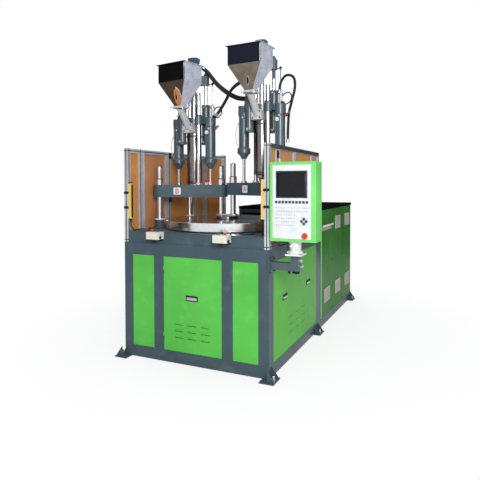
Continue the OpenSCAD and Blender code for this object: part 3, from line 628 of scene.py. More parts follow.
PLASTICS = {
    "rubber": (linear(16, 16, 18), 0.46, 500.0, 0.3),
    "cast": (linear(206, 205, 202), 0.48, 180.0, 0.35),
    "fascia": (linear(236, 238, 239), 0.40, 900.0, 0.06),
    "red": (linear(214, 62, 46), 0.30, 900.0, 0.05),
    "start_green": (linear(20, 124, 92), 0.30, 900.0, 0.05),
    "black_plastic": (linear(26, 27, 30), 0.40, 700.0, 0.15),
    "bezel": (linear(50, 66, 88), 0.4, 900.0, 0.08),
    "key_grey": (linear(212, 216, 220), 0.40, 900.0, 0.05),
    "label": (linear(238, 238, 236), 0.32, 900.0, 0.03),
    "clear_tube": (linear(214, 220, 222), 0.18, 500.0, 0.05),
    "sight_black": (linear(12, 12, 14), 0.20, 700.0, 0.03),
    "screen": (linear(12, 12, 16), 0.22, 900.0, 0.01),
}
NODE_FINISHES = {
    "slate": ["base_frame", "anchor_feet", "machine_bed", "cabinet_frame", "clamp_cylinders",
              "oil_tank", "pump_motor", "platen_*", "lower_platen_*"],
    "slate_gloss": ["carriage_*", "cylinders_*", "screw_motor_*"],
    "green": ["front_panels", "front_door"],
    "panel_green": ["panel_box"],
    "side_green": ["side_panels"],
    "dark_green": ["cabinet_panels"],
    "black": ["cabinet_top"],
    "beige": ["vent_grilles"],
    "yellow": ["light_curtains"],
    "turned_table": ["rotary_table"],
    "chrome": ["tie_bars_*", "unit_rods_*", "screw_a", "screw_b"],
    "jacket": ["barrel_*", "centre_hub"],
    "cast": ["feed_throat_*"],
    "aluminium": ["guard_frame", "door_left", "door_right"],
    "wide_board": ["door_left_board", "door_right_board"],
    "boards": ["guard_boards"],
    "white": ["transducer_*"],
    "station": ["hand_stations"],
    "red": ["panel_stop", "stop_left", "stop_right"],
    "start_green": ["start_left", "start_right"],
    "arm": ["panel_arm"],
    "swivel": ["panel_swivel"],
    "face": ["operator_face"],
    "yoke": ["yoke_*"],
    "hopper_a": ["hopper_a"],
    "hopper_b": ["hopper_b"],
}


def hopper_sheet_and_reflections(name, unit):
    """Bright sheet whose front wall and front funnel plate are painted darker, as painted reflections of dark
    surroundings.
    """
    f = Finish(name)
    x, y = UNIT_SIGN[unit] * UNIT_X, -HOPPER_Y
    turn = -HOPPER_TURN[unit]
    move = (-(x * math.cos(turn) - y * math.sin(turn)), -(x * math.sin(turn) + y * math.cos(turn)),
            -(CARRIAGE_Z[unit] + HOPPER_BASE))
    local = f.node("ShaderNodeMapping", None, {"Vector": f.place, "Location": move, "Rotation": (0, 0, turn)})
    parts = f.node("ShaderNodeSeparateXYZ", None, {0: local}).socket.node
    along, height = Signal(f, parts.outputs["Y"]), Signal(f, parts.outputs["Z"])
    on_box = (along < 0.0015 - HOPPER_FRONT) * (height > STUB_H + FUNNEL_H - 0.001)
    slope = along + HOPPER_OUTLET + (height - STUB_H) * ((HOPPER_FRONT - HOPPER_OUTLET) / FUNNEL_H)
    on_funnel = (slope < 0.0015) * (height > STUB_H) * (height < STUB_H + FUNNEL_H + 0.001)
    marks = f.grain(260.0, 3.0, 0.6, f.stretched((0.05, 0.05, 1)))
    smears = f.grain(9.0, 4.0)
    bright = f.mix(f.level(smears, 0.3, 0.7), linear(184, 189, 202), linear(222, 226, 238))
    # Painted reflections: the dark front wall and the brown funnel plate stand for dark surroundings mirrored
    # in the sheet.
    front = linear(26, 30, 42) if unit == "a" else linear(8, 8, 9)
    reflected_cone = linear(128, 116, 102) if unit == "a" else linear(84, 70, 56)
    funnel = f.mix(f.level(f.grain(16.0, 3.0), 0.35, 0.65), dimmed(reflected_cone, 0.7), reflected_cone)
    if unit == "b":
        # Its funnel mirrors the guard's board in a rounded patch with a pale edge at its upper right.
        across = Signal(f, parts.outputs["X"]) - 0.03
        lift = height - 0.075
        patch = across * across * 560.0 + lift * lift * 150.0
        pale = (patch < 1.35) * (across > 0.0) * (lift > 0.0)
        funnel = f.mix(pale, funnel, linear(214, 208, 198))
        funnel = f.mix(patch < 1.0, funnel, linear(200, 132, 74))
    shade = f.mix(on_funnel, f.mix(on_box, bright, front), funnel)
    return f.done({
        "Base Color": shade,
        "Metallic": 0.3 - (on_box + on_funnel) * 0.25,
        "Roughness": f.level(marks * 0.6 + smears * 0.4, 0.3, 0.7, 0.24, 0.36) + on_box * 0.2,
        "Normal": f.bump(marks, 0.12, 0.0003),
    }, Specular_IOR_Level=0.08)


def make_finishes(settings):
    chosen = {"slate": settings.slate, "slate_gloss": settings.slate, "green": settings.green,
              "dark_green": settings.shaded_cabinet_green, "side_green": settings.side_green}
    for name, (colour, rough) in ENAMEL.items():
        FINISHES[name] = painted(name + "_enamel", tuple(chosen.get(name, linear(*colour))), rough,
                                 settings.dust, SHINE.get(name, 0.2))
    FINISHES["aluminium"] = profile("aluminium_profile", linear(206, 208, 214))
    for name, (colour, marks) in METALS.items():
        FINISHES[name] = metal(name + "_metal", colour, **marks)
    for name, (colour, rough, fine, strength) in PLASTICS.items():
        FINISHES[name] = moulded(name + "_moulding", colour, rough, fine, strength)
    FINISHES["wide_board"] = board("wide_hardboard", linear(200, 136, 88), 0.3)
    FINISHES["boards"] = board("hardboard", tuple(settings.board), 1.1)
    FINISHES["turned_table"] = table_steel("turned_table_steel")
    slate, chrome = (linear(72, 90, 98), 0.36, 0.0), (linear(226, 228, 232), 0.12, 1.0)
    black, white = (linear(26, 27, 30), 0.4, 0.0), (linear(232, 233, 232), 0.36, 0.0)
    fascia, cream = (linear(236, 238, 239), 0.4, 0.0), (linear(232, 228, 214), 0.42, 0.0)
    FINISHES["station"] = two_part("station_moulding", lambda f: f.axis("Z") < STATION_Z + 0.010, cream, black)
    FINISHES["arm"] = two_part("panel_arm_enamel", lambda f: f.axis("Z") > 1.0055, slate, white)
    FINISHES["swivel"] = two_part(
        "swivel_enamel", lambda f: (f.axis("Y") < -0.686) * (f.axis("X") < ARM[0] - 0.03) * (f.axis("Z") > 1.04)
        * (f.axis("Z") < 1.095), white, black)
    FINISHES["face"] = two_part("fascia_moulding", lambda f: f.axis("Y") < PANEL_FRONT - 0.0002, fascia, black)
    FINISHES["yoke"] = two_part(
        "yoke_enamel_and_chrome", lambda f: f.axis("Z") < min(CARRIAGE_Z.values()) + 0.9915, slate, chrome)
    for unit in UNIT_SIGN:
        FINISHES["hopper_" + unit] = hopper_sheet_and_reflections("hopper_" + unit + "_sheet", unit)


def dress_nodes():
    for finish, names in NODE_FINISHES.items():
        for pattern in names:
            for name in ([pattern.replace("*", u) for u in UNIT_SIGN] if "*" in pattern else [pattern]):
                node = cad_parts[name]
                node.material_slots[0].material = FINISHES[finish]


# Fittings

def hex_head(radius, height):
    return turned([(radius * 1.5, 0), (radius * 1.5, height * 0.18), (radius, height * 0.18),
                   (radius, height * 0.85), (radius * 0.86, height)], sides=6)


def pan_head(radius, axis):
    return turned([(radius, 0), (radius, radius * 0.35), (radius * 0.72, radius * 0.7),
                   (radius * 0.34, radius * 0.78), (radius * 0.34, radius * 0.4)], axis=axis, sides=12)


def cap_screw(radius, axis=(0, 0, 1)):
    return turned([(radius, 0), (radius, radius * 1.3), (radius * 0.9, radius * 1.5),
                   (radius * 0.52, radius * 1.5), (radius * 0.52, radius * 0.8)], axis=axis, sides=16)


CAB_SCREW_Z = (0.125, 0.68, 1.238)


def spot(unit, x, y, z):
    """A place given round a unit's axis, above its carriage level."""
    return Vector((UNIT_SIGN[unit] * UNIT_X + x, y, CARRIAGE_Z[unit] + z))


def seats(unit, *sides):
    """Every place round a unit's axis on a grid of X, Y and Z."""
    return [spot(unit, *place) for place in grid(*sides)]


def columns(unit, axes, *heights):
    return [spot(unit, x, y, z) for x, y in axes for z in heights]


def bolt_circles(unit, axes, radius, angles, z):
    """Places on a circle round each of a unit's axes."""
    return [spot(unit, x + radius * math.cos(a), y + radius * math.sin(a), z) for x, y in axes for a in angles]


def anchor_bolts():
    bolt = lathe([(20, 0), (20, 3), (16.5, 3), (16.5, 15), (14.5, 17), (9.5, 17), (9.5, 34), (8, 36)], sides=6)
    rear = CAB_Y1 - 0.078
    side, plate_t = 0.736, 0.010
    feet = grid((-side, side), (-0.675, 0.675), plate_t) + grid((side, -0.299), rear, plate_t)
    fit(bolt, feet, "anchor_bolts", "zinc")


def panel_screws():
    fit(pan_head(0.0045, (0, -1, 0)),
        grid((-0.594, -0.398, 0.398, 0.594), FRONT - 0.0001, (0.135, 0.52, 0.905)), "front_panel_screws",
        "green")
    rows = [-0.56, -0.16, 0.25, 0.645]
    for sign, word in ((-1, "left"), (1, "right")):
        fit(pan_head(0.0045, (sign, 0, 0)), grid(sign * (SIDE - 0.0002), rows, (0.135, 0.908)),
            f"side_screws_{word}", "side_green")
        x = SIDE if sign > 0 else CAB_X0
        bays = [CAB_Y0 + CAB_BAY * i + off for i in range(3) for off in (0.022, 0.486)]
        places = [Vector((x, min(y, CAB_Y1 - 0.045), z)) for y in bays for z in CAB_SCREW_Z]
        fit(pan_head(0.006, (sign, 0, 0)), places, f"cabinet_screws_{word}", "dark_steel")
    fit(pan_head(0.006, (0, 1, 0)), grid((-0.215, 0.218, 0.652), CAB_Y1 - 0.0018, CAB_SCREW_Z),
        "cabinet_screws_back", "dark_steel")


def pull(width=0.116, height=0.046):
    """A flush pull in the XZ plane: a bright frame round a dish with a lip to hold."""
    plate = block((-width / 2, -0.003, -height / 2), (width / 2, 0.0, height / 2), 0.0012)
    return sunk(plate, lambda c, n: n.y < -0.9 and abs(c.x) < width / 3, 0.006, 0.0022)


def pull_lip(width=0.116, height=0.046):
    lip = block((-width / 2 + 0.008, -0.006, -height / 2 + 0.008), (width / 2 - 0.008, -0.0009, 0.006), 0.002)
    return sunk(lip, lambda c, n: n.z > 0.9 and abs(c.x) < 0.02, 0.002, 0.004)


def flush_pulls():
    at_door = Vector((0, FRONT, 0.585))
    sides = [(Vector((sign * (SIDE - 0.0001), y, 0.592)), sign * math.pi / 2)
             for sign in (-1, 1) for y in (-0.30, 0.375)]
    for shape, finish, word in ((pull, "black_plastic", "frame"), (pull_lip, "zinc", "lip")):
        fit(shape(), [at_door], f"door_pull_{word}", finish, "front_door")
        fit(shape(), sides, f"side_pulls_{word}", finish)


def louvres():
    """Pressed louvres over the slots of the door and the side panels, with painted shade in the openings: a
    dark strip under each door louvre and dark backs behind the side panels' openings.
    """
    hood = sunk(slab((-43, -2.8, -4), (43, 0, 6), 1.2), faces_down, 0.0008, 0.006)
    lip = slab((-41, -2.6, -10.8), (41, 0.4, -3.8), 0.5)
    low, high = (Vector(corner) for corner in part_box("front_door"))
    fit(slab((-43.5, 0.3, -3.4), (43.5, 6, 3.4), 0.6),
        [Vector((i * 0.127, FRONT, low.z + 0.193 + j * 0.086)) for i in (-1, 0, 1) for j in (-1, 0, 1)],
        "door_slot_backs", "green", "front_door")
    hoods = [Vector((i * 0.127, FRONT, low.z + 0.185 + j * 0.057)) for i in (-1, 0, 1) for j in (-1, 0, 1)]
    fit(hood, hoods, "door_louvres", "green", "front_door")
    # A dark strip under each hood: painted shade.
    fit(lip, hoods, "door_louvre_shadows", "dark_green", "front_door")
    fit(sunk(slab((-56.5, -1.2, -22.5), (56.5, 4, 22.5), 1), faces_front, 0.003, 0.0004),
        grid(0, FRONT, high.z - 0.092), "door_cover_plate", "green", "front_door")
    low, high = (Vector(corner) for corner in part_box("side_panels"))
    back = slab((1.2, -58.5, -3.4), (8, 58.5, 3.4), 0.6)
    middle = (low.y + high.y) / 2
    for sign, word in ((-1, "left"), (1, "right")):
        turn = 0 if sign < 0 else math.pi
        slots = [(Vector((sign * SIDE, middle + i * 0.190, low.z + 0.203 + j * 0.070)), turn)
                 for i in (-1, 0, 1) for j in (-1, 0, 1)]
        # Dark backs behind the side openings: painted shade.
        fit(duplicate_of(back), slots, f"side_slot_shadows_{word}", "dark_green")
    only(back)
    bpy.ops.object.delete()


def bed_fittings():
    wiper = lathe([(40.5, 0), (46, 0), (46, 9), (43, 12), (26.8, 12), (26.8, 4)])
    bars = grid((-BAR_OUT[0], BAR_OUT[0]), (-BAR_OUT[1], BAR_OUT[1]), BED_Z + 0.077)
    fit(wiper, bars, "bar_wipers", "fascia")
    screw = cap_screw(0.0055)
    fit(lathe([(58, 0), (58, 10), (54, 14), (40.2, 14), (40.2, 2)]), moved(bars, z=-0.0765), "bush_flanges",
        "slate")
    fit(screw, [bar + place for bar in bars for place in circle(0.049, (0.8, 2.4, 3.9, 5.5), -0.0635)],
        "bush_screws", "dark_steel")
    fit(lathe([(10, 0), (10, 4), (6.5, 4), (6.5, 14), (5, 16)], sides=20),
        grid((-0.62, 0.62), (-0.64, -0.40, 0.52, 0.68), BED_Z), "bed_screws", "dark_steel")


def table_fittings():
    """The bracket between the inner bars, the hub's screws and the rims of the table's holes."""
    place_piece(block((-0.104, -0.030, TABLE_Z + 0.0275), (0.104, 0.030, TABLE_Z + 0.0435), 0.003),
                "hub_bridge", "zinc")
    fit(lathe([(26.2, 0), (40, 0), (40, 5), (38, 7), (26.2, 7)]),
        grid((-BAR_IN_X, BAR_IN_X), 0, TABLE_Z + 0.0425), "hub_collars", "zinc")
    hub = circle(0.122, evenly(8, 0.39), 1.2093)
    fit(cap_screw(0.008), hub, "hub_screws", "dark_steel")
    pad = lathe([(9.8, 0), (9.8, 1.2), (7.5, 1.2), (7.5, 0.4)], sides=16)
    pitch = 0.22 * UNIT_X
    holes = [Vector((s * (UNIT_X + i * pitch), s * j * pitch, TABLE_Z)) for s in (-1, 1) for i in range(-2, 3)
             for j in range(-2, 3) if 2 in (abs(i), abs(j))]
    fit(pad, holes, "hole_rims", "dark_steel", "table")


def platen_fittings(unit):
    sign, top = UNIT_SIGN[unit], PLATEN_TOP[unit]
    put = fitter("clamp", unit)
    # The plate lies on the sloping front face of the platen, which runs from the bend to the outer bar.
    bend = Vector((0.246, -0.182))
    outer = Vector((BAR_OUT[0] - 0.024, -BAR_OUT[1] - 0.053))
    along = (outer - bend).normalized()
    middle = bend.lerp(outer, {"a": 0.10, "b": 0.50}[unit])
    turn = math.atan2(along.y, along.x)
    plate = sunk(slab((-35, -2.2, -34), (35, 0, 34), 0.8), lambda c, n: n.y < -0.9 and abs(c.x) < 0.02, 0.004,
                 0.0006)
    if sign < 0:
        middle, turn = Vector((-middle.x, middle.y)), -turn
    seat = Vector((middle.x, middle.y, top - PLATEN_T / 2))
    put(plate, [(seat, turn)], "station_plate", "label")
    letter(unit, seat, turn)
    screws = [(seat + Vector((x * math.cos(turn), x * math.sin(turn), z)), turn) for x in (-0.031, 0.031)
              for z in (-0.030, 0.030)]
    put(pan_head(0.0026, (0, -1, 0)), [(place + Vector((0, -0.002, 0)), turn) for place, turn in screws],
        "plate_screws", "zinc")
    bars = [Vector((sign * x, y, top)) for x, y in (BAR_OUT, (BAR_OUT[0], -BAR_OUT[1]), (BAR_IN_X, 0))]
    put(lathe([(26.2, 0), (33, 0), (33, 7), (30, 9), (26.2, 9)]), moved(bars, z=0.0531), "lock_rings",
        "dark_steel")
    put(lathe([(26.2, 0), (26.2, 4), (20, 8), (12, 8), (12, 3)]), moved(bars, z=0.178), "bar_ends",
        "dark_steel")
    put(ring([(62.5, 0), (84, 0), (84, 4), (81, 6), (62.5, 6)], sides=48), grid(sign * UNIT_X, 0, top),
        "nozzle_ring", "zinc")
    put(cap_screw(0.0032), moved(circle(0.0787, evenly(6), top + 0.0020), x=sign * UNIT_X), "ring_screws",
        "dark_steel")


def platen_cap():
    """The small red cover with its white foot on platen B, beside the nozzle."""
    top = PLATEN_TOP["b"]
    foot = sunk(block((-0.236, -0.016, top - 0.0005), (-0.184, 0.016, top + 0.024), 0.003), faces_front, 0.004,
                0.002)
    place_piece(foot, "cap_foot", "label", "clamp_b")
    cover = sunk(block((-0.238, -0.018, top + 0.022), (-0.182, 0.018, top + 0.060), 0.006), faces_up, 0.006,
                 0.003)
    place_piece(cover, "cap_cover", "red", "clamp_b")


def letter(unit, seat, turn):
    """The station's letter, cut from sheet strips: a plain block capital."""
    tall, wide, stroke = 0.044, 0.031, 0.0066
    half = wide / 2
    if unit == "a":
        strokes = [((-half, -tall / 2), (-0.0028, tall / 2)), ((half, -tall / 2), (0.0028, tall / 2)),
                   ((-0.010, -0.007), (0.010, -0.007))]
    else:
        strokes = [((-half + 0.004, -tall / 2), (-half + 0.004, tall / 2)),
                   ((-half, tall / 2 - 0.004), (half - 0.006, tall / 2 - 0.004)),
                   ((-half, 0.0015), (half - 0.005, 0.0015)),
                   ((-half, 0.004 - tall / 2), (half - 0.005, 0.004 - tall / 2)),
                   ((half - 0.006, 0.003), (half - 0.006, tall / 2 - 0.005)),
                   ((half - 0.004, 0.005 - tall / 2), (half - 0.004, 0.0))]
    bars = []
    for one, other in strokes:
        one, other = Vector(one), Vector(other)
        run = other - one
        bar = block((-run.length / 2 - 0.002, -0.0030, -stroke / 2),
                    (run.length / 2 + 0.002, -0.0014, stroke / 2), 0.0004, 1)
        bar.rotation_euler.y = -math.atan2(run.y, run.x)
        centre = (one + other) / 2
        bar.location = (centre.x, 0, centre.y)
        bars.append(in_place(bar))
    fit(joined(bars), [(seat, turn)], "station_letter_" + unit, "red", "clamp_" + unit)


def cylinder_fittings(unit):
    """Bolts, ports and bands of the carriage cylinders, and the nuts and bands of the injection cylinders."""
    put = fitter("carriage", unit)
    sixths = evenly(6, 0.26)
    put(lathe([(3.5, 0), (6.5, 0.8), (6.5, 10), (8.5, 10.2), (8.5, 12.5)], sides=6),
        bolt_circles(unit, SHIFT_AXES, 0.0535, sixths, 0.2035), "flange_bolts", "dark_steel")
    put(hex_head(0.0052, 0.008), bolt_circles(unit, SHIFT_AXES, 0.0545, sixths, 0.2525), "flange_nuts",
        "dark_steel")
    put(lathe([(14.5, 0), (24, 0), (27, 10), (27, 20), (14.5, 20)]), seats(unit, (-SHIFT_X, SHIFT_X), 0, 0.158),
        "rod_glands", "slate")
    port = lathe([(13, 0), (13, 10), (10, 13), (12.5, 16), (12.5, 24), (7, 26)], axis=(0, -1, 0), sides=6)
    ports = [spot(unit, x + 0.012, -0.0445, 0.545) for x, y in SHIFT_AXES]
    ports += [spot(unit, x, y - 0.0385, z) for x, y in reversed(INJECT_AXES) for z in (0.425, 0.770)]
    put(port, ports, "oil_ports", "zinc")
    put(lathe([(40.2, 0), (44.5, 0), (44.5, 22), (40.2, 22), (40.2, 4)]),
        columns(unit, INJECT_AXES, 0.402, 0.770), "cylinder_heads", "slate")
    put(hex_head(0.0050, 0.008), bolt_circles(unit, INJECT_AXES, 0.050, (0.79, 2.36, 3.93, 5.5), 0.6768),
        "collar_bolts", "dark_steel")
    put(lathe([(10, 0), (10, 12), (15, 14), (15, 32), (9, 34), (9, 52), (11, 54), (11, 66)],
              axis=(0.86, -0.25, 0.44), sides=24), seats(unit, 0.228, -0.016, 0.540), "brass_union", "brass")
    put(lathe([(12, 0), (12, 10), (18, 12), (18, 34), (12, 37), (10, 50)], axis=(0.35, -0.90, 0.12), sides=24),
        seats(unit, 0.168, -0.046, 0.505), "white_union", "fascia")


def carriage_fittings(unit):
    put = fitter("carriage", unit)
    top = 0.655
    put(lathe([(20.5, 0), (32, 0), (32, 6), (28, 9), (20.5, 9)]), columns(unit, GUIDE_AXES, 0.6715),
        "guide_wipers", "black_plastic")
    ends = bolt_circles(unit, SHIFT_AXES, 0.038, (0.5, 2.6, 3.7, 5.8), top)
    ends = [p for p in ends if not (unit == "b" and (p - spot(unit, 0.213, 0.032, top)).length < 0.03)]
    put(cap_screw(0.0065), ends, "plate_bolts", "dark_steel")
    block_y = -0.134
    put(cap_screw(0.006, (0, -1, 0)), seats(unit, (-0.036, 0.036), block_y, (0.524, 0.584)),
        "feed_block_screws", "dark_steel")
    put(sunk(block((-0.026, block_y - 0.005, 0.536), (0.026, block_y, 0.574), 0.002),
             lambda c, n: n.y < -0.9 and abs(c.x) < 0.01, 0.004, 0.0012), seats(unit, 0, 0, 0), "feed_gate",
        "zinc")
    flange = seats(unit, (-0.054, 0.054), (-0.054 - HOPPER_Y, 0.054 - HOPPER_Y), HOPPER_BASE)
    put(hex_head(0.0055, 0.008), moved(flange, z=-0.0003), "hopper_bolts", "zinc")
    put(lathe([(4, 0), (5.5, 0.5), (5.5, 7), (8, 7), (8, 9)], sides=6), moved(flange, z=-0.0235), "hopper_nuts",
        "zinc")
    # The jacket has end rings, a seam strip with screws and a heater's terminal box over the nozzle.
    put(lathe([(72.2, 0), (76.5, 0), (76.5, 18), (72.2, 18), (72.2, 4)], sides=64),
        seats(unit, 0, 0, (0.020, 0.470)), "jacket_rings", "dark_steel")
    lean = math.radians(38)
    seam_at = Vector((math.sin(lean) * 0.0725, -math.cos(lean) * 0.0725, 0))
    strip = slab((-8, -1.2, 45), (8, 1.2, 465), 0.6)
    put(strip, [(spot(unit, *seam_at), lean)], "jacket_seam", "jacket")
    put(pan_head(0.0035, (0, -1, 0)), [(spot(unit, seam_at.x * 1.016, seam_at.y * 1.016, z), lean)
                                       for z in (0.06, 0.14, 0.22, 0.30, 0.38, 0.45)], "jacket_screws",
        "dark_steel")
    put(lathe([(30.2, 0), (38.5, 0), (38.5, 5), (36.5, 7), (36.5, 19), (38.5, 21), (38.5, 26), (30.2, 26)],
              sides=48), seats(unit, 0, 0, -0.022), "nozzle_heater", "brass")
    lift = CARRIAGE_Z[unit] - PLATEN_TOP[unit]
    if lift > 0.03:
        box = slab((-16, -50, -20), (14, -30, 2), 3)
        put(box, seats(unit, 0, 0, 0), "heater_terminal", "fascia")
        put(lathe([(3, 0), (4.8, 1), (4.8, 6), (3, 7), (2.5, 8)], axis=(0, -1, 0.3), sides=20),
            seats(unit, (-0.007, 0.011), -0.0485, (-0.014, -0.005)), "heater_beads", "label")


def hopper_fittings(unit):
    """The rim's rolled edge, the sight window on the funnel, and rivets along the corners."""
    put, turn = fitter("carriage", unit), HOPPER_TURN[unit]
    base = spot(unit, 0, -HOPPER_Y, HOPPER_BASE)
    lean = math.atan2(HOPPER_FRONT - HOPPER_OUTLET, FUNNEL_H)
    z = 0.085
    seat = (0.010 if unit == "a" else 0.018, -HOPPER_OUTLET - (z - STUB_H) * math.tan(lean) - 0.0002, z)
    for radius, out, edge, finish, word in ((0.0125, 0.0022, 0.0014, "zinc", "window"),
                                            (0.0095, 0.0034, 0.0006, "sight_black", "pane")):
        sight = turned([(radius, -0.002), (radius, out - edge), (radius - edge, out), (radius * 0.6, out),
                        (radius * 0.5, out - 0.0004)], sides=32)
        sight.scale = (1, 3.4, 1)
        sight.rotation_euler = (math.pi / 2 + lean, 0.20, 0)
        sight.location = seat
        in_place(sight)
        put(sight, [(base, turn)], "sight_" + word, finish)
    rim = 0.015
    half_w, front, back = HOPPER_W / 2 + rim, -HOPPER_FRONT - rim, HOPPER_D / 2 + rim
    top = STUB_H + FUNNEL_H + HOPPER_BOX_H - 0.0015
    bars = []
    for low, high in (((-half_w, front - 0.001, top), (half_w, front + 0.004, top + 0.0035)),
                      ((-half_w, back - 0.004, top), (half_w, back + 0.001, top + 0.0035)),
                      ((-half_w - 0.001, front, top), (-half_w + 0.004, back, top + 0.0035)),
                      ((half_w - 0.004, front, top), (half_w + 0.001, back, top + 0.0035))):
        bars.append(block(low, high, 0.0012))
    put(joined(bars), [(base, turn)], "hopper_hem", "sheet")
    put(block((HOPPER_W / 2 - 0.010, -HOPPER_FRONT - 0.0010, STUB_H + FUNNEL_H + 0.002),
              (HOPPER_W / 2 + 0.0010, -HOPPER_FRONT + 0.010, top - 0.001), 0.0006), [(base, turn)],
        "hopper_corner", "sheet")
    side = HOPPER_W / 2 + 0.0002
    rivets = [(base + Vector((math.cos(turn) * side - math.sin(turn) * y,
                              math.sin(turn) * side + math.cos(turn) * y, h)), turn) for y in (-0.10, 0.10)
              for h in (0.250, 0.350)]
    put(pan_head(0.0042, (1, 0, 0)), rivets, "hopper_rivets", "zinc")


def motor_fittings(unit):
    """Nuts on the injection rods, screws of the motor and its oil ports."""
    put = fitter("injector", unit)
    put(lathe([(24.5, 0), (24.5, 3), (21.5, 3), (21.5, 20), (19, 22.5), (13.5, 22.5), (13.5, 34), (12, 36)],
              sides=6), columns(unit, INJECT_AXES, 1.082), "rod_nuts", "slate")
    put(cap_screw(0.0060), seats(unit, (-0.038, 0.038), (-0.038, 0.038), 1.108), "motor_screws", "dark_steel")
    put(lathe([(45.3, 0), (47.5, 1), (47.5, 4), (45.3, 5)], sides=64),
        columns(unit, [(0, 0)], *(1.128 + 0.022 * k for k in range(5))), "motor_ribs", "slate")
    put(lathe([(16, 0), (16, 8), (13.5, 10), (15.5, 13), (15.5, 22), (10, 24)], axis=(0, -1, 0), sides=6),
        seats(unit, 0.054, -0.0235, (1.153, 1.176)), "motor_ports", "zinc")
    put(lathe([(8, 0), (9.5, 2), (9.5, 40), (7.5, 47.5)], sides=16),
        bolt_circles(unit, [(0, 0)], 0.0465, evenly(12, 0.1), 1.205), "motor_bolts", "slate")
    put(lathe([(7.5, 0), (13, 2), (13, 12), (9, 16), (4, 17)], sides=24), seats(unit, *GAUGE_AXIS, 1.0115),
        "gauge_knob", "black_plastic")


def gauge_fittings(unit):
    put = fitter("carriage", unit)
    put(ring([(20.2, 0), (23, 0), (23, 10), (20.2, 10)]), seats(unit, *GAUGE_AXIS, (0.657, 0.768)),
        "gauge_clamps", "zinc")
    put(lathe([(11, 0), (11, 16), (14, 18), (14, 34), (9, 38), (7, 50)], axis=(0.75, -0.6, -0.28), sides=20),
        seats(unit, 0.156, 0.112, 0.690), "gauge_plug", "black_plastic")


HOSE = {
    "a": (0.012, [(146, 76, 770), (160, 79, 868), (214, 80, 930), (284, 80, 905), (298, 78, 810),
                  (270, 68, 680), (258, 28, 570), (258, 4, 440), (256, 0, 300)]),
    "b": (0.015, [(84, 0, 1164), (148, 18, 1112), (222, 70, 1005), (310, 135, 922), (400, 208, 874),
                  (500, 255, 882), (556, 275, 965), (505, 268, 1045), (410, 242, 1040), (325, 200, 965),
                  (275, 150, 840), (236, 88, 730), (213, 32, 670)]),
}
# Two places round a unit's axis on a hose between the two bodies.
BEND_START = (0.235, 0.09, 0.75)
BEND_END = (0.12, 0, 1.13)


def hose_line(unit, route):
    return smooth_line([spot(unit, *(c / 1000 for c in p)) for p in route], 8)


def run_length(points):
    return sum((b - a).length for a, b in zip(points, points[1:]))


def lay_cord(name, body, finish, radius, points, sides=4):
    """A hose or cable along its points that goes back into the machine at its far end."""
    cord = place_piece(tube(points, radius, sides), name, finish, body, smooth=60)
    run_length(points)
    2 * radius
    return cord


def oil_hoses():
    """Hose A stays on its carriage; hose B runs up to the injector."""
    for unit, (radius, route) in HOSE.items():
        points = hose_line(unit, route)
        low, high = "carriage_" + unit, ("carriage_a" if unit == "a" else "injector_b")
        hose = lay_cord("oil_hose_" + unit, low if low == high else None, "rubber", radius, points,
                        5)
        if low != high:
            spot(unit, *BEND_START)
            spot(unit, *BEND_END)
            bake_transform(hose)
        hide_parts("hoses_" + unit)
        for at, away, body, word in ((points[0], points[3], high, "start"),
                                     (points[-1], points[-4], low, "end")):
            place_piece(turned([(radius * 0.9, -0.002), (radius * 1.22, 0), (radius * 1.22, radius * 1.1),
                                (radius * 1.12, radius * 1.2), (radius * 1.22, radius * 1.3),
                                (radius * 1.22, radius * 2.4), (radius * 1.04, radius * 2.7)], at=at,
                               axis=(away - at).normalized(), sides=24), f"hose_{word}_{unit}", "zinc", body)


def hose_bundle():
    """The second, thinner hose that runs beside hose B from the screw motor, behind hopper A and back."""
    radius, line = 0.013, hose_line("b", HOSE["b"][1])
    points = []
    for i, point in enumerate(line):
        bow = math.sin(math.pi * i / (len(line) - 1))
        points.append(point + Vector((0.0, -0.006 - 0.022 * bow, -0.010 - 0.014 * bow)))
    hose = lay_cord("oil_hose_c", None, "rubber", radius, points, 5)
    spot("b", *BEND_START)
    spot("b", *BEND_END)
    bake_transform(hose)


GAUGE_CABLE = [(0.176, 0.096, 0.676), (0.212, 0.090, 0.668), (0.250, 0.088, 0.690), (0.262, 0.090, 0.735),
               (0.238, 0.096, 0.772), (0.200, 0.104, 0.772), (0.164, 0.118, 0.752)]
AIR_TUBE = [(-0.228, -0.004, 0.500), (-0.246, -0.006, 0.478), (-0.262, -0.008, 0.430),
            (-0.264, -0.009, 0.370), (-0.254, -0.008, 0.315), (-0.240, -0.004, 0.262)]


def small_loops():
    """The gauge's cable and the thin air tube of each left cylinder, which loop out and back."""
    for unit in UNIT_SIGN:
        for word, finish, radius, route in (("gauge_cable_", "rubber", 0.0055, GAUGE_CABLE),
                                            ("air_tube_", "clear_tube", 0.0032, AIR_TUBE)):
            lay_cord(word + unit, "carriage_" + unit, finish, radius,
                     smooth_line([spot(unit, *p) for p in route], 5))
        fit(lathe([(9, 0), (9, 8), (6, 10), (6, 16)], axis=(-1, 0, 0), sides=16),
            seats(unit, -0.2265, 0, 0.500), "air_stub_" + unit, "zinc", "carriage_" + unit)


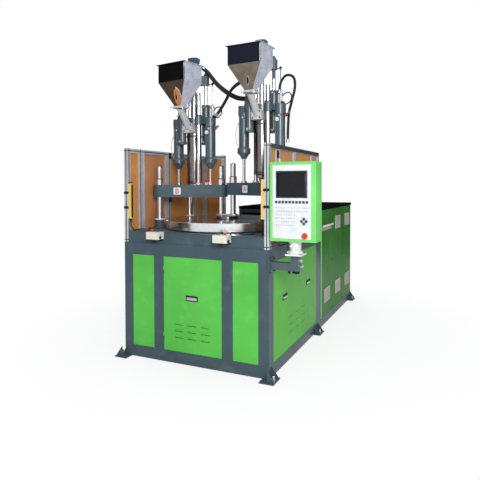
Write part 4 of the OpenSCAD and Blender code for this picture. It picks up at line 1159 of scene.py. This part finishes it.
def guard_fittings():
    """Caps on the posts, corner plates, the doors' handles and the blocks at their hinges."""
    cap = sunk(slab((-19.5, -19.5, 0), (19.5, 19.5, 3.5), 2), faces_up, 0.004, 0.0006)
    posts = grid((-POST_X, POST_X), POST_Y, GUARD_Z - 0.0035)
    fit(cap, posts, "post_caps", "black_plastic")
    fit(sunk(slab((-1.5, -16, -16), (1.5, 16, 16), 1), faces_sideways, 0.003, 0.0005),
        grid((-SIDE - 0.0005, SIDE + 0.0005), POST_Y, (1.06, GUARD_Z - 0.022)), "corner_plates", "aluminium")
    grip = lathe([(4.5, 0), (9.5, 6), (9.5, 114), (4.5, 120)], sides=20)
    feet = [lathe([(8.5, 0), (6.5, 6), (6.5, 26), (8.5, 30)], at=(0.0, 0, z), axis=(1, 0, 0), sides=16)
            for z in (0.012, 0.108)]
    grip.location = (0.030, 0, 0)
    in_place(grip)
    handle = joined([grip] + feet)
    for sign, word, y in ((-1, "left", -0.443), (1, "right", -0.043)):
        turn = 0 if sign > 0 else math.pi
        fit(duplicate_of(handle), [(Vector((sign * (SIDE - 0.0002), y, 1.40)), turn)], "door_handle_" + word,
            "black_plastic", "guard_door_" + word)
        leaf = sunk(slab((-3, -18, -30), (4.5, 18, 30), 1.5), faces_sideways, 0.005, 0.001)
        hinges = grid(-0.6590, 0.010, (1.40, 1.845)) if sign < 0 else grid(0.703, -0.487, (1.36, 1.80))
        fit(leaf, hinges, "stop_blocks_" + word, "black_plastic")
    only(handle)
    bpy.ops.object.delete()


def curtain_fittings():
    """The dark lens, end caps, clamps and cable tail of each light curtain."""
    for sign, word, low in ((-1, "left", 1.242), (1, "right", 1.272)):
        x = sign * CURTAIN[0]
        lens = slab((-3.5, -11.5, 12), (2.2, 13.5, 314), 1.2)
        fit(lens, [(Vector((x - sign * 0.0135, CURTAIN[1], low)), 0 if sign < 0 else math.pi)],
            "curtain_lens_" + word, "sight_black")
        caps = []
        for z in (low - 0.0045, low + 0.3205):
            cap = block((x - 0.0160, -0.6760, z), (x + 0.0155, -0.6440, z + 0.010), 0.002)
            caps.append(sunk(cap, faces_up_or_down, 0.005, 0.001))
        place_piece(joined(caps), "curtain_caps_" + word, "black_plastic")
        clamps = []
        for z in (low + 0.092, low + 0.225):
            inner, outer = sorted((sign * 0.6580, sign * 0.6970))
            clamps.append(block((inner, -0.6795, z + 0.006), (outer, -0.6655, z + 0.020), 0.003))
            for knob_x in (0.6650, 0.6895):
                clamps.append(lathe([(12, 0), (12, 8), (10, 10.5), (6, 11), (5, 8)],
                                    at=(sign * knob_x, -0.6790, z + 0.013), axis=(0, -1, 0), sides=24))
        place_piece(joined(clamps), "curtain_clamps_" + word, "black_plastic")
        tail = lathe([(7.5, 0), (7.5, 10), (5.8, 13), (5.8, 26), (3.5, 32)], at=(x, CURTAIN[1], low - 0.004),
                     axis=(0, 0, -1), sides=16)
        place_piece(tail, "curtain_gland_" + word, "black_plastic")
        start = low - 0.034
        drop = start - BED_Z
        route = [(x, CURTAIN[1], start), (x + 0.004, -0.659, start - 0.3 * drop),
                 (x - sign * 0.014, -0.654, start - 0.62 * drop),
                 (x - sign * 0.012, -0.640, BED_Z + 0.020), (x + sign * 0.004, -0.600, BED_Z + 0.0045),
                 (x + sign * 0.006, -0.54, BED_Z + 0.0042), (x - sign * 0.010, -0.47, BED_Z + 0.0042)]
        lay_cord("curtain_cable_" + word, "base", "rubber", 0.0038, smooth_line(route, 5))


STATIONS = {"left": -0.412, "right": 0.237}


def station_fittings():
    """The hand stations' mounting lug, lid screws, button collars, gland and cable."""
    for word, x in STATIONS.items():
        low, high = Vector((x, -0.755, STATION_Z)), Vector((x + 0.130, -0.675, STATION_Z + 0.072))
        lug = sunk(block((low.x + 0.052, low.y + 0.004, low.z - 0.014),
                         (low.x + 0.078, low.y + 0.030, low.z - 0.001), 0.003), faces_front, 0.004, 0.002)
        place_piece(lug, "station_lug_" + word, "dark_steel")
        screws = moved(grid((0.009, 0.121), (0.010, 0.070), high.z), low.x, low.y)
        fit(pan_head(0.0038, (0, 0, 1)), screws, "station_screws_" + word, "zinc")
        fit(lathe([(10.6, 0), (16.5, 0), (16.5, 3.5), (14, 5), (10.6, 5)]),
            moved(grid((0.035, 0.095), -0.715, high.z), low.x), "button_collars_" + word, "zinc")
        gland = lathe([(13, 0), (13, 6), (10, 8), (12.5, 10), (12.5, 18), (7, 23)],
                      at=(high.x, low.y + 0.022, low.z + 0.026), axis=(1, 0, 0), sides=12)
        place_piece(gland, "station_gland_" + word, "black_plastic")
        place_piece(lathe([(9.8, 16), (9.8, 23.5), (8, 25)], at=(high.x, low.y + 0.022, low.z + 0.026),
                          axis=(1, 0, 0), sides=20), "station_plug_" + word, "label")
        sign = -1 if word == "left" else 1
        start = Vector((x + 0.065 + sign * 0.058, -0.676, BED_Z + 0.0005))
        place_piece(lathe([(8, 0), (8, 4), (6.2, 6), (6.2, 12)], at=(start.x, -0.668, BED_Z - 0.0005),
                          sides=16), "station_outlet_" + word, "black_plastic")
        route = [(start.x, -0.668, BED_Z + 0.010), (start.x + sign * 0.004, -0.655, BED_Z + 0.026),
                 (start.x + sign * 0.030, -0.62, BED_Z + 0.018),
                 (start.x + sign * 0.075, -0.58, BED_Z + 0.0045),
                 (start.x + sign * 0.125, -0.55, BED_Z + 0.0042),
                 (start.x + sign * 0.145, -0.505, BED_Z + 0.0042)]
        lay_cord("station_cable_" + word, "base", "rubber", 0.0036, smooth_line(route, 6))


def fit_keys(name, first_x, columns_across, rows_up):
    """A block of the keypad's keys, counted from the X of the first column and from the lowest row."""
    pitch_x, pitch_z, first_z = 0.0205, 0.0265, PANEL_Z + 0.125
    places = [Vector((first_x + i * pitch_x, PANEL_FRONT, first_z + j * pitch_z))
              for i in columns_across for j in rows_up]
    fit(sunk(slab((-7.5, -2.2, -6.5), (7.5, -0.7, 6.5), 0.6), faces_front, 0.002, 0.0004),
        places, name, "key_grey", "operator_panel")


def panel_fittings():
    """The screen in its bezel, the keys, the keypad with its arrow ring, the hinges and the back's screws."""
    body = "operator_panel"
    # The face's left edge, foot and outside: it lies a little way in from the box's edges.
    inset, front = 0.023, PANEL_FRONT
    x0, z0 = PANEL_X0 + inset, PANEL_Z + inset
    face_top = z0 + 0.561
    top = face_top - 0.045
    bezel = sunk(block((x0 + 0.0275, front - 0.0030, top - 0.207), (x0 + 0.2775, front + 0.0010, top), 0.0015),
                 faces_front, 0.009, 0.0022)
    place_piece(bezel, "screen_bezel", "bezel", body)
    place_piece(sunk(block((x0 + 0.0375, front - 0.0014, top - 0.1965),
                           (x0 + 0.2675, front - 0.0004, top - 0.0105), 0.0003), faces_front, 0.010, 0.0002),
                "screen_glass", "screen", body)
    keys = []
    for i in range(10):
        x = x0 + 0.022 + i * 0.027
        z = face_top - 0.292
        key = block((x - 0.0006, front - 0.0052, z - 0.0006), (x + 0.0186, front - 0.0022, z + 0.0186), 0.0012)
        keys.append(sunk(key, faces_front, 0.003, 0.0008))
    place_piece(joined(keys), "function_keys", "bezel", body)
    pad_low = z0 + 0.082
    place_piece(sunk(block((x0 + 0.014, front - 0.0012, pad_low), (x0 + 0.291, front + 0.0001, pad_low + 0.172),
                           0.0006), faces_front, 0.003, 0.0004), "keypad", "fascia", body)
    fit_keys("keypad_keys", x0 + 0.030, range(8), range(6))
    centre = Vector((x0 + 0.250, front, pad_low + 0.052))
    arrow = lathe([(11.8, 0), (11.8, 1.2), (10, 2.2), (6, 2.2), (6, 1.4)], axis=(0, -1, 0), sides=8,
                  spin=math.pi / 8)
    fit(arrow, [centre + Vector((0.0175 * math.cos(a), -0.0008, 0.0175 * math.sin(a))) for a in evenly(4)],
        "arrow_keys", "bezel", body)
    ring = lathe([(33.5, 0), (33.5, 0.9), (31.5, 1.4), (30, 1.4), (30, 0.6)], axis=(0, -1, 0), sides=48)
    fit(ring, [centre], "arrow_ring", "key_grey", body)
    fit_keys("more_keys", x0 + 0.1955, range(5), (4, 5))
    stop = Vector((PANEL_X0 + 0.283, front, PANEL_Z + 0.049))
    place_piece(lathe([(24.5, 0), (24.5, 1), (22.5, 1.8), (13, 1.8), (13, 0.8)], at=stop, axis=(0, -1, 0),
                      sides=40), "stop_collar", "yellow", body)
    fit(lathe([(5.5, 0), (5.5, 44), (4, 46)], sides=16),
        moved(grid(PANEL_X0 - 0.0035, -0.595, (0.08, 0.30, 0.50)), z=PANEL_Z), "panel_hinges", "zinc", body)
    fit(pan_head(0.005, (0, 1, 0)), moved(grid((0.02, 0.347), PANEL_FRONT + 0.155, (0.02, 0.30, 0.587)),
                                          PANEL_X0, 0, PANEL_Z), "panel_back_screws", "zinc", body)


def arm_fittings():
    """The arm's foot plate with its bolts, the swivel's bolts and the cable glands on the elbow."""
    plate = block((SIDE - 0.0004, ARM[1] - 0.062, 0.852), (SIDE + 0.010, ARM[1] + 0.062, 0.976), 0.002)
    place_piece(plate, "arm_foot", "slate")
    bolts = moved(grid(SIDE + 0.0095, (-0.048, 0.048), (-0.048, 0.048)), 0, ARM[1], 0.914)
    fit(cap_screw(0.0065, (1, 0, 0)), bolts, "arm_foot_bolts", "dark_steel")
    fit(lathe([(6.5, 0), (6.5, 4), (5, 6), (3, 6), (3, 3)], sides=16),
        moved(grid((-0.054, 0.054), (-0.054, 0.054), 1.0188), *ARM), "swivel_bolts", "dark_steel")
    fit(lathe([(14, 0), (14, 7), (11, 9), (13.5, 11), (13.5, 22), (7.5, 30)], axis=(1, 0, 0), sides=12),
        moved([(0.0298, -0.012, 0.968), (0.0298, 0.014, 0.920)], *ARM), "elbow_glands", "zinc")
    under = lathe([(12, 0), (12, 7), (9, 9), (11.5, 11), (11.5, 20), (6, 26)], axis=(0, 0, -1), sides=12)
    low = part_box("panel_arm")[0][2]
    fit(under, moved([(-0.048, -0.010, low), (-0.020, 0.012, low), (0.008, -0.012, low), (0.018, 0.014, low)],
                     *ARM, 0.001), "arm_glands", "black_plastic")


def cabinet_fittings():
    """The painted highlight down the front corner, the hood of the first vent with a painted shadow under it,
    latches, louvres and lid screws.
    """
    # A bright strip down the cabinet's front corner: painted highlight.
    place_piece(sunk(block((SIDE + 0.0003, CAB_Y0 + 0.0006, 0.100), (SIDE + 0.0028, CAB_Y0 + 0.0340, 1.262),
                           0.0010), faces_right, 0.004, 0.0005), "corner_highlight", "panel_green")
    y = CAB_Y0 + 0.254
    hood = sunk(block((SIDE + 0.0075, y - 0.200, 1.086), (SIDE + 0.030, y + 0.200, 1.1045), 0.003), faces_down,
                0.002, 0.010)
    place_piece(hood, "vent_hood", "fascia")
    # A black block under the hood: painted shadow.
    place_piece(sunk(block((SIDE + 0.0003, y - 0.194, 1.0445), (SIDE + 0.0085, y + 0.194, 1.0720), 0.0015),
                     faces_right, 0.004, 0.002), "vent_hood_shadow", "black_plastic")
    latch = lathe([(12.5, 0), (12.5, 3), (10, 5), (4, 5), (4, 2)], axis=(1, 0, 0), sides=24)
    fit(latch, [(Vector((CAB_X0, CAB_Y0 + CAB_BAY * (i + 0.5), z)), math.pi) for i in range(3)
                for z in (0.30, 1.10)], "cabinet_latches", "black_plastic")
    fit(lathe([(12.5, -2), (12.5, 1.2), (10, 2.4), (4, 2.4), (4, 0)], axis=(0, 1, 0), sides=24),
        grid((-0.17, 0.60), CAB_Y1, 0.68), "back_latches", "black_plastic")
    fit(sunk(slab((-150, -4, -5), (150, 2.6, 6), 1.2), faces_down, 0.0010, 0.004),
        [Vector((CAB_MIDDLE, CAB_Y1 - 0.0002, 0.26 + 0.032 * k)) for k in range(7)], "back_louvres",
        "dark_green")
    fit(sunk(slab((-9, -110, -5), (0, 110, 6), 2), faces_down, 0.0015, 0.004),
        [Vector((CAB_X0 + 0.0002, CAB_Y0 + CAB_BAY * (i + 0.5), 0.30 + 0.035 * k + 0.03)) for i in (0, 2)
         for k in range(5)], "left_louvres", "dark_green")
    fit(lathe([(7.5, 0), (7.5, 0.8), (5.5, 1.2), (2.2, 1.2), (2.2, 0.2)], sides=12),
        grid((CAB_X0 + 0.03, CAB_MIDDLE, SIDE - 0.03), (CAB_Y0 + 0.03, 1.35, 1.85, CAB_Y1 - 0.03),
             CAB_TOP - 0.0012), "lid_screws", "zinc")


# Stage

# What bright metal mirrors as dark: azimuth, distance, width, foot and top of each flag.
FLAGS = ((206, 6.0, 5.4, 0.0, 5.0), (156, 6.0, 4.6, 0.0, 5.0), (72, 6.0, 5.0, 0.0, 5.0),
         (115, 6.4, 5.2, 1.0, 3.4), (22, 6.0, 4.6, 1.5, 5.0))


def make_world(fill):
    """Light from all round that lights the machine, and a plain white that the camera and mirrors see."""
    world = bpy.data.worlds.new("Studio")
    bpy.context.scene.world = world
    world.use_nodes = True
    tree = world.node_tree
    back = tree.nodes["Background"]
    lit = tree.nodes.new("ShaderNodeBackground")
    lit.inputs["Color"].default_value = (0.86, 0.90, 1.0, 1)
    lit.inputs["Strength"].default_value = fill
    back.inputs["Color"].default_value = (1, 1, 1, 1)
    back.inputs["Strength"].default_value = 1.0
    path = tree.nodes.new("ShaderNodeLightPath")
    seen = path.outputs["Is Camera Ray"]
    for name in ("Is Glossy Ray", "Is Transmission Ray"):
        both = tree.nodes.new("ShaderNodeMath")
        both.operation = "MAXIMUM"
        tree.links.new(seen, both.inputs[0])
        tree.links.new(path.outputs[name], both.inputs[1])
        seen = both.outputs[0]
    choose = tree.nodes.new("ShaderNodeMixShader")
    tree.links.new(seen, choose.inputs[0])
    tree.links.new(lit.outputs[0], choose.inputs[1])
    tree.links.new(back.outputs[0], choose.inputs[2])
    tree.links.new(choose.outputs[0], tree.nodes["World Output"].inputs["Surface"])


def make_floor():
    """White paper under the machine that fades into the background."""
    nothing_selected()
    bpy.ops.mesh.primitive_plane_add(size=60, location=(0, 0, -0.0006))
    floor = in_place(bpy.context.active_object)
    floor.name = "floor"
    f = Finish("floor_paper")
    tone = f.mix(f.level(f.grain(1.5, 2.0), 0.3, 0.7), (0.90, 0.90, 0.90), (0.93, 0.93, 0.93))
    f.done({"Base Color": tone, "Roughness": f.level(f.grain(3.0), 0.3, 0.7, 0.85, 0.95)})
    x, y = f.axis("X"), f.axis("Y") - 0.8
    square = x * x + y * y
    far = f.level(square.sum("SQRT", square), 1.2, 2.6, 0.80, 1.0)
    glow = f.node("ShaderNodeEmission", None, {"Color": (1.0, 1.0, 1.0), "Strength": 1.0})
    ray = f.node("ShaderNodeLightPath", output="Is Camera Ray")
    gloss = f.node("ShaderNodeLightPath", output="Is Glossy Ray")
    share = ray.sum("MAXIMUM", ray, gloss) * far
    mixed = f.node("ShaderNodeMixShader", None, {0: share})
    f.tree.links.new(f.shader.outputs[0], mixed.socket.node.inputs[1])
    f.tree.links.new(glow.socket, mixed.socket.node.inputs[2])
    f.tree.links.new(mixed.socket, f.tree.nodes["Material Output"].inputs["Surface"])
    floor.data.materials.append(f.material)


def make_flags():
    """Black cloths round the machine that only bright metal mirrors."""
    flag_finish = Finish("flag_cloth")
    weave = flag_finish.grain(60.0)
    flag_finish.done({"Base Color": flag_finish.mix(weave, (0.012, 0.012, 0.014), (0.03, 0.03, 0.032)),
                      "Roughness": flag_finish.level(weave, 0.3, 0.7, 0.8, 0.95)})
    for number, (azimuth, away, wide, low, high) in enumerate(FLAGS):
        nothing_selected()
        angle = math.radians(azimuth)
        bpy.ops.mesh.primitive_plane_add(
            size=1, location=(away * math.cos(angle), away * math.sin(angle), (low + high) / 2),
            rotation=(math.pi / 2, 0, angle + math.pi / 2))
        flag = bpy.context.active_object
        flag.scale = (wide, high - low, 1)
        in_place(flag)
        flag.name = f"flag_{number}"
        flag.data.materials.append(flag_finish.material)
        for ray_kind in ("camera", "diffuse", "shadow", "transmission", "volume_scatter"):
            setattr(flag, "visible_" + ray_kind, False)


def make_lamps(settings):
    for name, place, aim, size, power in (
            ("key_lamp", (2.9, -4.7, 2.9), (0, 0, 1.3), 1.5, settings.key),
            ("side_lamp", (6.0, -1.2, 3.6), (0.4, 0.8, 1.0), 3.0, settings.side),
            ("top_lamp", (0.6, 1.4, 7.5), (0, 0.6, 1.2), 4.5, settings.top)):
        nothing_selected()
        bpy.ops.object.light_add(type="AREA", location=place)
        lamp = bpy.context.active_object
        lamp.name = name
        lamp.data.energy = power
        lamp.data.size = size
        lamp.visible_glossy = name == "key_lamp"
        lamp.rotation_mode = "QUATERNION"
        lamp.rotation_quaternion = (Vector(aim) - Vector(place)).to_track_quat("-Z", "Y")


def make_camera(settings):
    """The camera of the photograph, where the straight edges in it put it."""
    nothing_selected()
    bpy.ops.object.camera_add(location=settings.eye)
    camera = bpy.context.active_object
    camera.name = "photo_camera"
    yaw, pitch, roll = (math.radians(a) for a in (25.017, -1.512, 0.131))
    ahead = Vector((-math.sin(yaw) * math.cos(pitch), math.cos(yaw) * math.cos(pitch), math.sin(pitch)))
    right = Vector((math.cos(yaw), math.sin(yaw), 0))
    down = ahead.cross(right)
    tilted_right = math.cos(roll) * right + math.sin(roll) * down
    tilted_up = math.sin(roll) * right - math.cos(roll) * down
    camera.rotation_mode = "QUATERNION"
    camera.rotation_quaternion = Matrix((tilted_right, tilted_up, -ahead)).transposed().to_quaternion()
    camera.data.lens = settings.lens
    camera.data.sensor_width = 36
    camera.data.shift_x = 0.0050
    camera.data.shift_y = -0.0911
    bpy.context.scene.camera = camera
    bpy.context.scene.view_settings.view_transform = "Standard"


def make_stage(settings):
    make_world(settings.fill)
    make_floor()
    make_flags()
    make_lamps(settings)
    make_camera(settings)


class StudioSettings(bpy.types.PropertyGroup):
    """Where the camera stands and how strong the studio's lamps are."""

    eye: bpy.props.FloatVectorProperty(
        name="Camera", description="Where the camera stands", subtype="TRANSLATION", unit="LENGTH",
        default=(2.0705, -4.196, 1.5604))
    lens: bpy.props.FloatProperty(
        name="Lens", description="Focal length of the camera, in millimetres", default=36.17, min=10.0)
    fill: bpy.props.FloatProperty(
        name="Fill", description="Strength of the light from all round", default=0.42, min=0.0)
    key: bpy.props.FloatProperty(
        name="Key lamp", description="Power of the lamp beside the camera", default=182.0, min=0.0,
        unit="POWER")
    side: bpy.props.FloatProperty(
        name="Side lamp", description="Power of the lamp on the right", default=20.0, min=0.0, unit="POWER")
    top: bpy.props.FloatProperty(
        name="Top lamp", description="Power of the lamp overhead", default=170.0, min=0.0, unit="POWER")


class MachineSettings(bpy.types.PropertyGroup):
    """The colours of the machine's paints and the wear on them."""

    slate: bpy.props.FloatVectorProperty(
        name="Slate", description="Colour of the castings and frames", subtype="COLOR", size=3, min=0, max=1,
        default=linear(72, 90, 98))
    green: bpy.props.FloatVectorProperty(
        name="Green", description="Colour of the base's front panels and the operator panel", subtype="COLOR",
        size=3, min=0, max=1, default=linear(96, 200, 80))
    # The next two greens are painted shade: the front's green made darker for the cabinet and the base's sides.
    shaded_cabinet_green: bpy.props.FloatVectorProperty(
        name="Cabinet green", description="Colour of the rear cabinet's panels", subtype="COLOR",
        size=3, min=0, max=1, default=linear(56, 124, 44))
    side_green: bpy.props.FloatVectorProperty(
        name="Side green", description="Colour of the base's side panels", subtype="COLOR",
        size=3, min=0, max=1, default=linear(96, 184, 72))
    board: bpy.props.FloatVectorProperty(
        name="Board", description="Colour of the hardboard in the guards", subtype="COLOR",
        size=3, min=0, max=1, default=linear(206, 138, 68))
    dust: bpy.props.FloatProperty(
        name="Dust", description="How far dust pales the paint", subtype="FACTOR", default=0.05, min=0, max=1)


def for_each_unit(*makers):
    for unit in UNIT_SIGN:
        for make in makers:
            make(unit)


class MOULDING_OT_finishes(bpy.types.Operator):
    """Makes the finishes and gives each solid its own"""

    bl_idname = "moulding.finishes"
    bl_label = "Finishes"

    def execute(self, context):
        make_finishes(context.scene.moulding_machine)
        dress_nodes()
        return {"FINISHED"}


class MOULDING_OT_base_fittings(bpy.types.Operator):
    """Adds the base's anchor bolts, panel screws, flush pulls, louvres and bed fittings"""

    bl_idname = "moulding.base_fittings"
    bl_label = "Base fittings"

    def execute(self, context):
        anchor_bolts()
        panel_screws()
        flush_pulls()
        bed_fittings()
        louvres()
        return {"FINISHED"}


class MOULDING_OT_table(bpy.types.Operator):
    """Adds the table's bracket, hole rims and hub screws"""

    bl_idname = "moulding.table"
    bl_label = "Rotary table"

    def execute(self, context):
        table_fittings()
        return {"FINISHED"}


class MOULDING_OT_platens(bpy.types.Operator):
    """Adds the station plates, letters, lock rings and nozzle rings of both platens"""

    bl_idname = "moulding.platens"
    bl_label = "Platens"

    def execute(self, context):
        for_each_unit(platen_fittings)
        platen_cap()
        return {"FINISHED"}


class MOULDING_OT_units(bpy.types.Operator):
    """Adds the bolts, ports, bands and unions of both injection units"""

    bl_idname = "moulding.units"
    bl_label = "Injection units"

    def execute(self, context):
        for_each_unit(cylinder_fittings, carriage_fittings, motor_fittings, gauge_fittings)
        return {"FINISHED"}


class MOULDING_OT_hoppers(bpy.types.Operator):
    """Adds the hoppers' hems, rivets and sight windows"""

    bl_idname = "moulding.hoppers"
    bl_label = "Hoppers"

    def execute(self, context):
        for_each_unit(hopper_fittings)
        return {"FINISHED"}


class MOULDING_OT_hoses(bpy.types.Operator):
    """Lays the oil hoses, the gauge cables and the air tubes"""

    bl_idname = "moulding.hoses"
    bl_label = "Hoses and cables"

    def execute(self, context):
        oil_hoses()
        hose_bundle()
        small_loops()
        return {"FINISHED"}


class MOULDING_OT_guards(bpy.types.Operator):
    """Adds the guards' caps, plates, handles and hinge blocks, and the light curtains' fittings"""

    bl_idname = "moulding.guards"
    bl_label = "Guards and light curtains"

    def execute(self, context):
        guard_fittings()
        curtain_fittings()
        return {"FINISHED"}


class MOULDING_OT_stations(bpy.types.Operator):
    """Adds the lugs, screws, collars and cables of the hand stations"""

    bl_idname = "moulding.stations"
    bl_label = "Hand stations"

    def execute(self, context):
        station_fittings()
        return {"FINISHED"}


class MOULDING_OT_panel(bpy.types.Operator):
    """Adds the operator panel's screen, keys and hinges, and its arm's foot, bolts and glands"""

    bl_idname = "moulding.panel"
    bl_label = "Operator panel"

    def execute(self, context):
        panel_fittings()
        arm_fittings()
        return {"FINISHED"}


class MOULDING_OT_cabinet(bpy.types.Operator):
    """Adds the cabinet's corner strip, vent hood, latches, louvres and lid screws"""

    bl_idname = "moulding.cabinet"
    bl_label = "Rear cabinet"

    def execute(self, context):
        cabinet_fittings()
        return {"FINISHED"}


class MOULDING_OT_stage(bpy.types.Operator):
    """Sets the white floor, the lamps and the camera of the photograph"""

    bl_idname = "moulding.stage"
    bl_label = "Stage"

    def execute(self, context):
        make_stage(context.scene.moulding_studio)
        return {"FINISHED"}


STEPS = (
    MOULDING_OT_finishes, MOULDING_OT_stage, MOULDING_OT_hoses, MOULDING_OT_guards, MOULDING_OT_stations,
    MOULDING_OT_base_fittings, MOULDING_OT_table, MOULDING_OT_platens, MOULDING_OT_units, MOULDING_OT_hoppers,
    MOULDING_OT_panel, MOULDING_OT_cabinet)


class MOULDING_PT_sidebar(bpy.types.Panel):
    """Lists the steps in their order, under the settings they read"""

    bl_label = "Moulding machine"
    bl_idname = "MOULDING_PT_sidebar"
    bl_space_type = "VIEW_3D"
    bl_region_type = "UI"
    bl_category = "Moulding"

    def draw(self, context):
        column = self.layout.column()
        for settings in (context.scene.moulding_machine, context.scene.moulding_studio):
            for name in settings.__annotations__:
                column.prop(settings, name)
        for made in STEPS:
            column.operator(made.bl_idname)


CLASSES = (MachineSettings, StudioSettings, *STEPS, MOULDING_PT_sidebar)


def register():
    for made in CLASSES:
        bpy.utils.register_class(made)
    bpy.types.Scene.moulding_machine = bpy.props.PointerProperty(type=MachineSettings)
    bpy.types.Scene.moulding_studio = bpy.props.PointerProperty(type=StudioSettings)


def unregister():
    del bpy.types.Scene.moulding_studio
    del bpy.types.Scene.moulding_machine
    for made in reversed(CLASSES):
        bpy.utils.unregister_class(made)


def main():
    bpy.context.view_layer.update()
    register()
    for made in STEPS:
        group, name = made.bl_idname.split(".")
        if getattr(getattr(bpy.ops, group), name)() != {"FINISHED"}:
            raise RuntimeError(made.bl_label + " did not finish")


if __name__ == "__main__":
    main()
